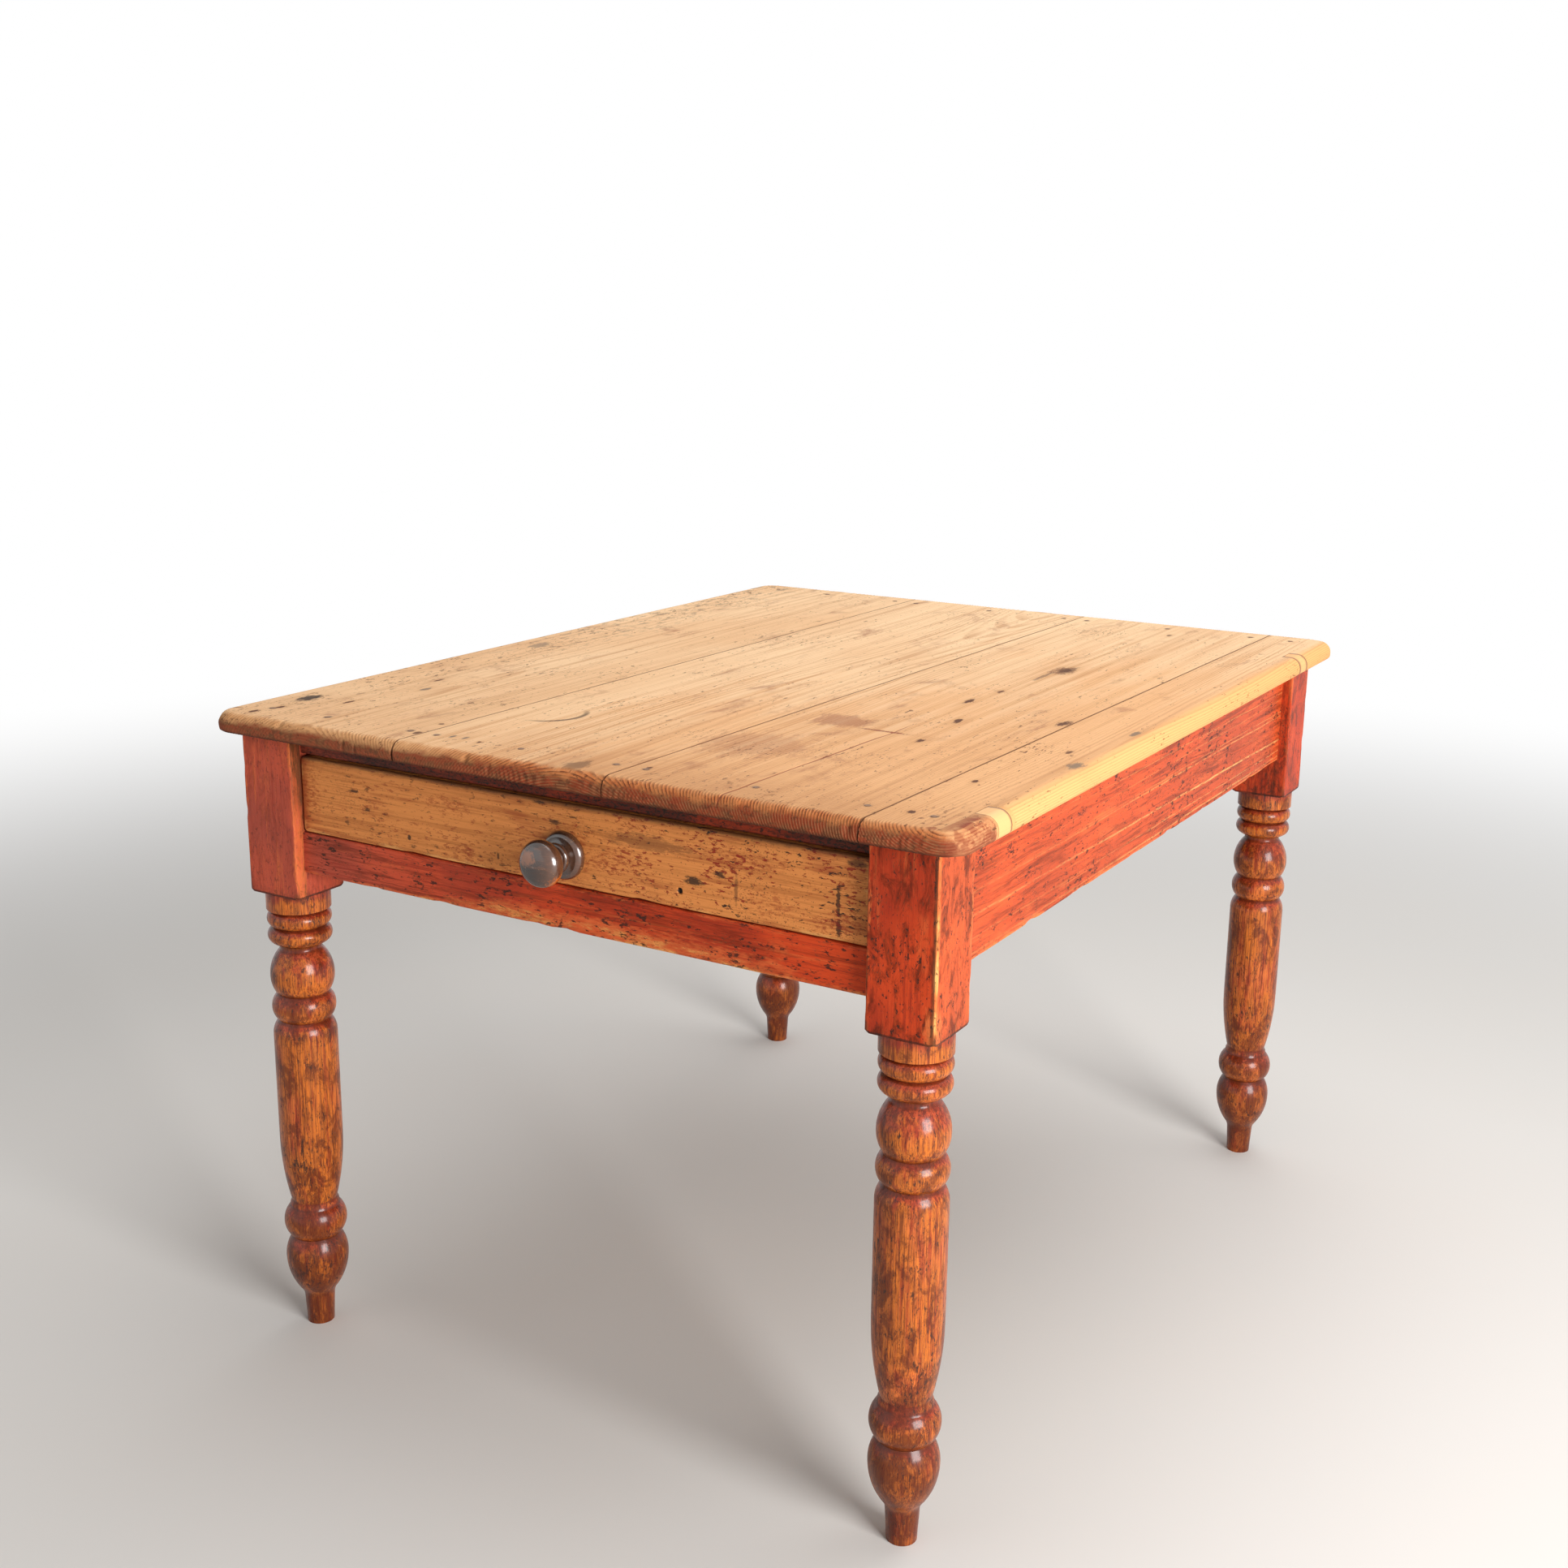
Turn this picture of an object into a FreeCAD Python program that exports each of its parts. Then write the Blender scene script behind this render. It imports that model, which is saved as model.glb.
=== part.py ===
"""Kitchen table: a plank top on four turned legs, with one drawer in the front end.

Millimetres, +Z up, floor at zero. X runs across the table and Y along it, with the drawer facing -Y.
"""
import FreeCAD
import Part
import Sketcher
import math
import os
from types import SimpleNamespace

# Driving dimensions, in millimetres
SIZES = {
    # Whole table
    "table_height": 760,
    "top_length": 1190,
    "top_width": 930,
    "end_overhang": 22.5,
    "side_overhang": 29,
    # Plank top
    "top_thickness": 23,
    "top_corner_radius": 30,
    "top_upper_round": 14,
    "top_lower_round": 5,
    "narrow_board": 96,
    "board_gap": 0.8,
    # How far the ends of each joint between boards stray to the right of an even division
    "seam_1_front_stray": -5,
    "seam_1_rear_stray": 2,
    "seam_2_front_stray": -13,
    "seam_2_rear_stray": 5,
    "seam_3_front_stray": -6,
    "seam_3_rear_stray": 7,
    # Patches let into the right edge
    "patch_depth": 25,
    "front_patch_width": 30,
    "front_patch_inset": 80,
    "rear_patch_width": 34,
    "rear_patch_inset": 137,
    # Nails, tapered from head to tip, and how far each bites into what holds it
    "nail_head_radius": 3.2,
    "nail_tip_radius": 1,
    "top_nail_bite": 15,
    "top_nail_edge": 18,
    "top_nail_leg_inset": 22,
    "front_nail_inset": 12,
    "guide_nail_bite": 14,
    "guide_nail_inset": 60,
    "bottom_nail_bite": 18,
    "bottom_nail_inset": 70,
    # Legs: square head, then the turning from the floor up
    "leg_square": 74,
    "leg_head": 188,
    "leg_arris": 2,
    "pommel_radius": 40,
    "pommel_rise": 4,
    "turned_radius": 36.8,
    "toe_radius": 16,
    "toe_top_radius": 18,
    "toe_height": 34.5,
    "toe_cove_height": 10.5,
    "toe_cove_radius": 19,
    "bulb_foot_radius": 21.5,
    "bulb_rise": 45,
    "bulb_fall": 26,
    "ankle_radius": 28.5,
    "ankle_ring": 39,
    "ankle_fillet": 3.5,
    "barrel_foot_radius": 26.5,
    "barrel_foot_cone": 4,
    "barrel_swell": 82.5,
    "barrel_shoulder": 18,
    "waist_radius": 30,
    "waist_ring": 32,
    "ball_rise": 22,
    "ball_fall": 33,
    "neck_radius": 23.7,
    "neck_height": 3,
    "neck_cove_height": 4,
    "neck_cove_radius": 6,
    "reel_height": 20,
    "collar_quirk": 1.5,
    "collar_height": 21.5,
    # Aprons and drawer rails
    "setback": 13,
    "apron_thickness": 22,
    "apron_height": 136,
    "rail_arris": 2,
    "lower_rail_height": 48,
    "lower_rail_thickness": 24,
    "upper_rail_thickness": 20.5,
    "upper_rail_depth": 50,
    "upper_rail_setback": 16,
    "drawer_opening": 89.5,
    "tenon_thickness": 10,
    "tenon_length": 36,
    "apron_tenon_foot": 14,
    "apron_tenon_head": 28,
    "rail_tenon_shoulder": 6,
    "dovetail_length": 24,
    "dovetail_root": 26,
    "dovetail_tip": 34,
    # Drawer
    "drawer_length": 580,
    "drawer_side_gap": 1.5,
    "drawer_head_gap": 1.5,
    "drawer_foot_gap": 1.2,
    "running_gap": 0.3,
    "drawer_front_thickness": 22,
    "drawer_corner_radius": 5,
    "drawer_front_arris": 1.5,
    "drawer_side_thickness": 12,
    "drawer_side_height": 84,
    "drawer_back_thickness": 12,
    "drawer_back_drop": 6,
    "dovetail_lap": 5,
    "bottom_thickness": 8,
    "bottom_lift": 8,
    "bottom_groove": 5,
    "bottom_gap": 0.6,
    # Knob, measured out from the drawer front
    "knob_length": 53,
    "knob_height": 34,
    "knob_aside": 6,
    "knob_ball_radius": 24.8,
    "knob_ball_front": 14,
    "knob_ball_back": 12,
    "knob_dome_radius": 16,
    "knob_dome_fall": 2,
    "knob_neck_radius": 12.5,
    "knob_ring_radius": 16.2,
    "knob_ring": 8,
    "knob_rose": 12,
    "knob_rose_radius": 25.8,
    "knob_rose_flat_radius": 20.5,
    "knob_rose_dish": 2,
    "knob_rose_dish_radius": 12,
    "knob_rose_edge": 2.5,
    "knob_rose_undercut": 1,
    "knob_spigot_radius": 8,
    # What the drawer runs on and between
    "runner_thickness": 26,
    "runner_tread": 24,
    "runner_stub_length": 10,
    "runner_stub_shoulder": 7,
    "guide_height": 40,
    "stop_length": 30,
    "stop_height": 20,
    "stop_gap": 0.3,
    # Glue blocks
    "glue_block": 32,
    "glue_block_length": 70,
    "glue_block_chamfer": 14,
    "glue_block_inset": 70,
    # Cutting tools run this far past what they cut
    "overrun": 10,
}

WIDE_BOARDS = 3
TAILS = 3
BOTTOM_BOARDS = ("front", "middle", "rear")
SIDES = {"left": -1, "right": 1}
ENDS = {"front": -1, "rear": 1}
TAIL_ROOT_SHARE = 0.5
TAIL_TIP_SHARE = 0.7
ROUND_WALL_SHARE = 0.62
LOWER_ROUND_WALL_SHARE = 0.3
SIDE_BLOCK_SHARES = (0.22, 0.78)
SAME = 1e-6


class Size:
    """A length with its value and the expression of named sizes that drives it."""

    def __init__(self, value, text):
        self.value = value
        self.text = text

    def __add__(self, other):
        other = as_size(other)
        return Size(self.value + other.value, f"({self.text} + {other.text})")

    def __sub__(self, other):
        other = as_size(other)
        return Size(self.value - other.value, f"({self.text} - {other.text})")

    def __mul__(self, other):
        other = as_size(other)
        return Size(self.value * other.value, f"({self.text} * {other.text})")

    def __truediv__(self, other):
        other = as_size(other)
        return Size(self.value / other.value, f"({self.text} / {other.text})")

    def __neg__(self):
        return ZERO - self


def as_size(number):
    return number if isinstance(number, Size) else Size(number, str(number))


def least(first, second):
    return Size(min(first.value, second.value), f"min({first.text}; {second.text})")


ZERO = Size(0, "0")
doc = FreeCAD.newDocument("KitchenTable")
sheet = doc.addObject("Spreadsheet::Sheet", "Sizes")
for row, (alias, number) in enumerate(SIZES.items(), 1):
    sheet.set(f"A{row}", alias)
    sheet.set(f"B{row}", str(number))
    sheet.setAlias(f"B{row}", alias)
doc.recompute()
size = SimpleNamespace(**{alias: Size(number, f"Sizes.{alias}") for alias, number in SIZES.items()})
nodes = []

# Planes that several pieces share
frame_top = size.table_height - size.top_thickness
opening_top = frame_top - size.upper_rail_thickness
opening_foot = opening_top - size.drawer_opening
head_foot = frame_top - size.leg_head
apron_foot = frame_top - size.apron_height
half_width = size.top_width / 2
half_length = size.top_length / 2
frame_half_width = half_width - size.side_overhang
frame_half_length = half_length - size.end_overhang
wide_board = (size.top_width - size.narrow_board) / WIDE_BOARDS
leg_inner_x = frame_half_width - size.leg_square
leg_inner_y = frame_half_length - size.leg_square
apron_outer_x = frame_half_width - size.setback
apron_inner_x = apron_outer_x - size.apron_thickness
apron_outer_y = frame_half_length - size.setback
apron_inner_y = apron_outer_y - size.apron_thickness
drawer_face = size.setback - frame_half_length
rail_back = drawer_face + size.lower_rail_thickness
upper_rail_face = size.upper_rail_setback - frame_half_length
upper_rail_back = upper_rail_face + size.upper_rail_depth
drawer_half = leg_inner_x - size.drawer_side_gap
drawer_end = drawer_face + size.drawer_length
side_foot = opening_foot + size.running_gap
side_top = side_foot + size.drawer_side_height
tread_x = leg_inner_x - size.runner_tread
# The knob stands out past the top, and the origin is the middle of the whole box
middle = (size.knob_length - size.setback - size.end_overhang) / 2


def bind(thing, **lengths):
    for name, length in lengths.items():
        thing.setExpression(name, length.text)


def place(thing, x, y, z):
    """Places are measured from the middle of the top."""
    thing.setExpression("Placement.Base.x", x.text)
    thing.setExpression("Placement.Base.y", (y + middle).text)
    thing.setExpression("Placement.Base.z", z.text)


def mirrored(side, near, far):
    return (near, far) if side > 0 else (-far, -near)


def box(name, x, y, z):
    """A block between two planes on each axis."""
    block = doc.addObject("Part::Box", name)
    bind(block, Length=x[1] - x[0], Width=y[1] - y[0], Height=z[1] - z[0])
    place(block, x[0], y[0], z[0])
    return block


def group(name, things):
    compound = doc.addObject("Part::Compound", name)
    compound.Links = things
    return compound


def fuse(name, things):
    fused = doc.addObject("Part::MultiFuse", name)
    fused.Shapes = things
    fused.Refine = True
    return fused


def cut(name, base, tools):
    """Base with the room for its mating pieces taken out."""
    result = doc.addObject("Part::Cut", name)
    result.Base = base
    result.Tool = tools[0] if len(tools) == 1 else group(f"{name}_fits", tools)
    return result


def common(name, base, tool):
    result = doc.addObject("Part::Common", name)
    result.Base = base
    result.Tool = tool
    return result


def node(thing, label):
    thing.Label = label
    nodes.append(thing)
    return thing


def swell(across, along):
    """Radius of an arc that runs parallel to the axis at its fat end."""
    return (across * across + along * along) / (across * 2)


def bead(rise, along):
    """Radius of an arc that stands out by rise between two equal ends."""
    half = along / 2
    return (rise * rise + half * half) / (rise * 2)


def rounded(across, along, radius):
    """A corner whose edge to the next corner bulges to the right of travel."""
    return (across, along, radius, False)


def hollow(across, along, radius):
    """A corner whose edge to the next corner is scooped the other way."""
    return (across, along, radius, True)


def arc_between(start, finish, radius, scooped):
    chord = finish - start
    half = chord.Length / 2
    left = FreeCAD.Vector(-chord.y, chord.x, 0).normalize()
    height = math.sqrt(max(radius * radius - half * half, 0))
    centre = (start + finish) / 2 + left * (-height if scooped else height)
    first, last = (finish, start) if scooped else (start, finish)
    turns = [math.atan2(point.y - centre.y, point.x - centre.x) for point in (first, last)]
    return Part.ArcOfCircle(Part.Circle(centre, FreeCAD.Vector(0, 0, 1), radius), *turns)


def pin_point(sketch, edge, end, length, kind, axis):
    """Hold one coordinate of a point at a named size, or on the axis where it is zero."""
    if length is ZERO:
        sketch.addConstraint(Sketcher.Constraint("PointOnObject", edge, end, axis))
        return
    held = sketch.addConstraint(Sketcher.Constraint(kind, -1, 1, edge, end, length.value))
    sketch.setExpression(f"Constraints[{held}]", length.text)


def draw(sketch, corners):
    """A closed outline through corners, each (across, along) or made by rounded or hollow."""
    points = [FreeCAD.Vector(corner[0].value, corner[1].value, 0) for corner in corners]
    edges = []
    for index, corner in enumerate(corners):
        start = points[index]
        finish = points[(index + 1) % len(points)]
        scooped = len(corner) > 2 and corner[3]
        if len(corner) > 2:
            edge = sketch.addGeometry(arc_between(start, finish, corner[2].value, scooped))
            held = sketch.addConstraint(Sketcher.Constraint("Radius", edge, corner[2].value))
            sketch.setExpression(f"Constraints[{held}]", corner[2].text)
        else:
            edge = sketch.addGeometry(Part.LineSegment(start, finish))
        edges.append((edge, 2, 1) if scooped else (edge, 1, 2))
    for index, (edge, start, finish) in enumerate(edges):
        before, _, before_finish = edges[index - 1]
        sketch.addConstraint(Sketcher.Constraint("Coincident", before, before_finish, edge, start))
        pin_point(sketch, edge, start, corners[index][0], "DistanceX", -2)
        pin_point(sketch, edge, start, corners[index][1], "DistanceY", -1)


def sketch_on(body, role, name):
    sketch = body.newObject("Sketcher::SketchObject", name)
    plane = next(feature for feature in body.Origin.OriginFeatures if feature.Role == role)
    sketch.AttachmentSupport = [(plane, "")]
    sketch.MapMode = "FlatFace"
    return sketch


def pad(body, sketch, name, length):
    feature = body.newObject("PartDesign::Pad", name)
    feature.Profile = sketch
    bind(feature, Length=length)
    return feature


def revolve(body, sketch, name, kind="PartDesign::Revolution"):
    feature = body.newObject(kind, name)
    feature.Profile = sketch
    feature.ReferenceAxis = (sketch, ["V_Axis"])
    feature.Angle = 360
    return feature


def prism(name, role, corners, start, finish):
    """An outline drawn on a plane and carried from start to finish square to it."""
    body = doc.addObject("PartDesign::Body", name)
    # The XZ plane faces -Y, so there the outline is carried forwards from its rear end
    offsets = {
        "XY_Plane": (ZERO, ZERO, start),
        "XZ_Plane": (ZERO, finish, ZERO),
        "YZ_Plane": (start, ZERO, ZERO),
    }
    place(body, *offsets[role])
    sketch = sketch_on(body, role, f"{name}_outline")
    draw(sketch, corners)
    pad(body, sketch, f"{name}_pad", finish - start)
    return body


def nail(name, x, y, z, length, points_up=False):
    """A tapered nail whose head lies flush at z."""
    shank = doc.addObject("Part::Cone", name)
    head, tip = size.nail_head_radius, size.nail_tip_radius
    foot, crown = (head, tip) if points_up else (tip, head)
    bind(shank, Radius1=foot, Radius2=crown, Height=length)
    place(shank, x, y, z if points_up else z - length)
    return shank


def edges_where(shape, chosen):
    """Names of the edges whose end points pass a test."""
    return [f"Edge{index}" for index, edge in enumerate(shape.Edges, 1)
            if chosen([end.Point for end in edge.Vertexes])]


def same(first, second):
    return abs(first - second) < SAME


def rounded_edge(body, base, name, radius, chosen):
    """The chosen edges of a body's last feature, rounded over."""
    doc.recompute()
    feature = body.newObject("PartDesign::Fillet", name)
    feature.Base = (base, edges_where(base.Shape, chosen))
    bind(feature, Radius=radius)
    doc.recompute()
    return feature


def rounded_rectangle(x, y, radius):
    left, right = x
    low, high = y
    return [
        (left + radius, low),
        rounded(right - radius, low, radius),
        (right, low + radius),
        rounded(right, high - radius, radius),
        (right - radius, high),
        rounded(left + radius, high, radius),
        (left, high - radius),
        rounded(left, low + radius, radius),
    ]


def top_blank():
    """The whole top in one piece: rounded corners, full upper edge and eased lower edge."""
    body = doc.addObject("PartDesign::Body", "top_blank")
    place(body, ZERO, ZERO, frame_top)
    sketch = sketch_on(body, "XY_Plane", "top_outline")
    draw(sketch, rounded_rectangle((-half_width, half_width), (-half_length, half_length),
                                   size.top_corner_radius))
    plank = pad(body, sketch, "top_plank", size.top_thickness)
    upper = least(size.top_upper_round, size.top_thickness * ROUND_WALL_SHARE)
    lower = least(size.top_lower_round, size.top_thickness * LOWER_ROUND_WALL_SHARE)
    thickness = size.top_thickness.value
    plank = rounded_edge(body, plank, "top_upper_edge", upper,
                         lambda points: all(same(point.z, thickness) for point in points))
    rounded_edge(body, plank, "top_lower_edge", lower,
                 lambda points: all(same(point.z, ZERO.value) for point in points))
    return body


def seam(index, y):
    """Middle of the joint on the right of a wide board, counted from one, at a place along the table."""
    front = getattr(size, f"seam_{index}_front_stray")
    rear = getattr(size, f"seam_{index}_rear_stray")
    stray = (front + rear) / 2 + (rear - front) * y / size.top_length
    return wide_board * index - half_width + stray


def top_nails():
    """Nails at both ends: near each joint, in the middle of each wide board and over the legs."""
    leg_nail = frame_half_width - size.top_nail_leg_inset
    lines = {
        "front": upper_rail_face + size.front_nail_inset,
        "rear": apron_inner_y + size.apron_thickness / 2,
    }
    length = size.top_thickness + size.top_nail_bite
    driven = []
    for end, y in lines.items():
        places = [-leg_nail, leg_nail]
        for index in range(1, WIDE_BOARDS + 1):
            joint = seam(index, y)
            places += [joint - wide_board / 2, joint - size.top_nail_edge]
            if index < WIDE_BOARDS:
                places.append(joint + size.top_nail_edge)
        for index, x in enumerate(places, 1):
            driven.append(nail(f"top_nail_{end}_{index}", x, y, size.table_height, length))
    return node(group("top_nail_set", driven), "top_nails")


def board_edges(index, y):
    """Left and right edge of a board, counted from zero. The outermost run past the top."""
    left = seam(index, y) + size.board_gap / 2 if index else -half_width - size.overrun
    last = index == WIDE_BOARDS
    right = half_width + size.overrun if last else seam(index + 1, y) - size.board_gap / 2
    return left, right


def top_boards(nails):
    """Boards and edge patches, sliced from the blank so that their edges run through."""
    blank = top_blank()
    depth = (frame_top - size.overrun, size.table_height + size.overrun)
    patch_x = (half_width - size.patch_depth, half_width + size.overrun)
    front = size.front_patch_inset - half_length
    rear = half_length - size.rear_patch_inset
    spans = {"front": (front, front + size.front_patch_width), "rear": (rear - size.rear_patch_width, rear)}
    slots = []
    for end, span in spans.items():
        slot = box(f"patch_slot_{end}", patch_x, span, depth)
        slots.append(slot)
        node(common(f"patch_{end}", blank, slot), f"edge_patch_{end}")
    near = -half_length - size.overrun
    far = half_length + size.overrun
    for index in range(WIDE_BOARDS + 1):
        near_left, near_right = board_edges(index, near)
        far_left, far_right = board_edges(index, far)
        outline = [(near_left, near), (near_right, near), (far_right, far), (far_left, far)]
        board_slice = prism(f"board_slice_{index + 1}", "XY_Plane", outline, *depth)
        plank = common(f"plank_{index + 1}", blank, board_slice)
        fits = [nails] + (slots if index == WIDE_BOARDS else [])
        node(cut(f"board_{index + 1}", plank, fits), f"top_board_{index + 1}")


def turning():
    """Half outline of the turned part, from the middle of the toe up to the square head."""
    ring = size.turned_radius
    toe_top = size.toe_height
    bulb_foot = toe_top + size.toe_cove_height
    bulb_widest = bulb_foot + size.bulb_rise
    ankle = bulb_widest + size.bulb_fall
    ankle_top = ankle + size.ankle_ring
    fillet_top = ankle_top + size.ankle_fillet
    barrel_foot = fillet_top + size.barrel_foot_cone
    barrel_full = barrel_foot + size.barrel_swell
    collar_foot = head_foot - size.collar_height
    upper_reel_top = collar_foot - size.collar_quirk
    lower_reel_top = upper_reel_top - size.reel_height
    lower_reel_foot = lower_reel_top - size.reel_height
    neck_top = lower_reel_foot - size.neck_cove_height
    neck_foot = neck_top - size.neck_height
    ball_widest = neck_foot - size.ball_fall
    ball_foot = ball_widest - size.ball_rise
    waist = ball_foot - size.waist_ring
    shoulder = waist - size.barrel_shoulder
    ankle_rise = ring - size.ankle_radius
    waist_rise = ring - size.waist_radius
    reel_bead = bead(waist_rise, size.reel_height)
    return [
        (ZERO, ZERO),
        (size.toe_radius, ZERO),
        hollow(size.toe_top_radius, toe_top, size.toe_cove_radius),
        rounded(size.bulb_foot_radius, bulb_foot, swell(ring - size.bulb_foot_radius, size.bulb_rise)),
        rounded(ring, bulb_widest, swell(ankle_rise, size.bulb_fall)),
        rounded(size.ankle_radius, ankle, bead(ankle_rise, size.ankle_ring)),
        (size.ankle_radius, ankle_top),
        (size.ankle_radius, fillet_top),
        rounded(size.barrel_foot_radius, barrel_foot,
                swell(ring - size.barrel_foot_radius, size.barrel_swell)),
        (ring, barrel_full),
        rounded(ring, shoulder, swell(waist_rise, size.barrel_shoulder)),
        rounded(size.waist_radius, waist, bead(waist_rise, size.waist_ring)),
        rounded(size.waist_radius, ball_foot, swell(waist_rise, size.ball_rise)),
        rounded(ring, ball_widest, swell(ring - size.neck_radius, size.ball_fall)),
        (size.neck_radius, neck_foot),
        hollow(size.neck_radius, neck_top, size.neck_cove_radius),
        rounded(size.waist_radius, lower_reel_foot, reel_bead),
        rounded(size.waist_radius, lower_reel_top, reel_bead),
        (size.waist_radius, upper_reel_top),
        (ring, collar_foot),
        (ring, head_foot),
        (ZERO, head_foot),
    ]


def leg_blank(name, side, end):
    """A turned leg with its square head, before the joints are cut."""
    body = doc.addObject("PartDesign::Body", f"{name}_blank")
    half = size.leg_square / 2
    place(body, (leg_inner_x + half) * side, (leg_inner_y + half) * end, ZERO)
    profile = sketch_on(body, "XZ_Plane", f"{name}_profile")
    draw(profile, turning())
    revolve(body, profile, f"{name}_turning")
    square = sketch_on(body, "XY_Plane", f"{name}_square")
    square.setExpression("AttachmentOffset.Base.z", head_foot.text)
    draw(square, [(-half, -half), (half, -half), (half, half), (-half, half)])
    head = pad(body, square, f"{name}_head", size.leg_head)
    outside = half.value
    rounded_edge(body, head, f"{name}_arrises", size.leg_arris,
                 lambda points: same(points[0].x, points[-1].x) and same(points[0].y, points[-1].y)
                 and same(abs(points[0].x), outside) and same(abs(points[0].y), outside))
    # The lathe rounds the lower corners of the head upwards
    shoulder = sketch_on(body, "XZ_Plane", f"{name}_shoulder")
    corner = half * math.sqrt(2)
    rise = size.pommel_rise
    draw(shoulder, [
        rounded(size.pommel_radius, head_foot, swell(rise, corner - size.pommel_radius)),
        (corner, head_foot + rise),
        (corner, head_foot),
    ])
    revolve(body, shoulder, f"{name}_pommel", "PartDesign::Groove")
    return body


def legs(side_aprons, rear_apron, lower_rail, upper_rail, nails):
    """Each head is mortised for the rails that meet in it."""
    for end_name, end in ENDS.items():
        for side_name, side in SIDES.items():
            name = f"leg_{end_name}_{side_name}"
            rails = [lower_rail, upper_rail] if end_name == "front" else [rear_apron]
            fits = [side_aprons[side_name], nails] + rails
            node(cut(f"{name}_cut", leg_blank(name, side, end), fits), name)


def tenon_span(inner, outer):
    """A tenon stands in the middle of its rail's thickness."""
    centre = (inner + outer) / 2
    return (centre - size.tenon_thickness / 2, centre + size.tenon_thickness / 2)


def rail_section(near, far, foot, top):
    """A rail on edge, with both its lower arrises eased."""
    ease = size.rail_arris
    return [
        (near + ease, foot),
        rounded(far - ease, foot, ease),
        (far, foot + ease),
        (far, top),
        (near, top),
        rounded(near, foot + ease, ease),
    ]


def side_apron(name, side):
    outer = mirrored(side, apron_inner_x, apron_outer_x)
    board = prism(f"{name}_board", "XZ_Plane", rail_section(*outer, apron_foot, frame_top),
                  -leg_inner_y, leg_inner_y)
    reach = leg_inner_y + size.tenon_length
    tenon_z = (apron_foot + size.apron_tenon_foot, frame_top - size.apron_tenon_head)
    tenon = box(f"{name}_tenons", tenon_span(*outer), (-reach, reach), tenon_z)
    return node(fuse(f"{name}_piece", [board, tenon]), name)


def rear_apron(runners, nails):
    section = rail_section(apron_inner_y, apron_outer_y, apron_foot, frame_top)
    board = prism("rear_apron_board", "YZ_Plane", section, -leg_inner_x, leg_inner_x)
    reach = leg_inner_x + size.tenon_length
    tenon_z = (apron_foot + size.apron_tenon_foot, frame_top - size.apron_tenon_head)
    tenon = box("rear_apron_tenons", (-reach, reach), tenon_span(apron_inner_y, apron_outer_y), tenon_z)
    whole = fuse("rear_apron_whole", [board, tenon])
    return node(cut("rear_apron_piece", whole, runners + [nails]), "rear_apron")


def lower_rail(runners):
    foot = opening_foot - size.lower_rail_height
    section = rail_section(drawer_face, rail_back, foot, opening_foot)
    board = prism("lower_rail_board", "YZ_Plane", section, -leg_inner_x, leg_inner_x)
    reach = leg_inner_x + size.tenon_length
    tenon_z = (foot + size.rail_tenon_shoulder, opening_foot - size.rail_tenon_shoulder)
    tenon = box("lower_rail_tenons", (-reach, reach), tenon_span(drawer_face, rail_back), tenon_z)
    whole = fuse("lower_rail_whole", [board, tenon])
    return node(cut("lower_rail_piece", whole, runners), "drawer_rail_lower")


def upper_rail(nails):
    """Laid flat over the drawer, with dovetails that drop into the leg heads."""
    centre = (upper_rail_face + upper_rail_back) / 2
    root = size.dovetail_root / 2
    tip = size.dovetail_tip / 2
    reach = leg_inner_x + size.dovetail_length
    right = [
        (leg_inner_x, upper_rail_face),
        (leg_inner_x, centre - root),
        (reach, centre - tip),
        (reach, centre + tip),
        (leg_inner_x, centre + root),
        (leg_inner_x, upper_rail_back),
    ]
    left = [(-x, y) for x, y in reversed(right)]
    board = prism("upper_rail_board", "XY_Plane", right + left, opening_top, frame_top)
    return node(cut("upper_rail_piece", board, [nails]), "drawer_rail_upper")


def runner_piece(name, side, nails):
    """Carries a drawer side, fits round both leg heads and is stubbed into the end rails."""
    inner, outer, wall = tread_x * side, leg_inner_x * side, apron_inner_x * side
    corners = [
        (inner, rail_back),
        (outer, rail_back),
        (outer, -leg_inner_y),
        (wall, -leg_inner_y),
        (wall, leg_inner_y),
        (outer, leg_inner_y),
        (outer, apron_inner_y),
        (inner, apron_inner_y),
    ]
    foot = opening_foot - size.runner_thickness
    board = prism(f"{name}_board", "XY_Plane", corners, foot, opening_foot)
    shoulder = size.runner_stub_shoulder
    stub = box(f"{name}_stubs", mirrored(side, tread_x + shoulder, leg_inner_x - shoulder),
               (rail_back - size.runner_stub_length, apron_inner_y + size.runner_stub_length),
               (foot + shoulder, opening_foot - shoulder))
    return node(cut(f"{name}_piece", fuse(f"{name}_whole", [board, stub]), [nails]), name)


def kicker(name, side):
    """Keeps the drawer level as it is pulled out."""
    inner, outer, wall = tread_x * side, leg_inner_x * side, apron_inner_x * side
    corners = [
        (inner, upper_rail_back),
        (outer, upper_rail_back),
        (outer, -leg_inner_y),
        (wall, -leg_inner_y),
        (wall, drawer_end),
        (inner, drawer_end),
    ]
    return node(prism(f"{name}_board", "XY_Plane", corners, side_top + size.drawer_head_gap, frame_top), name)


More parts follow.
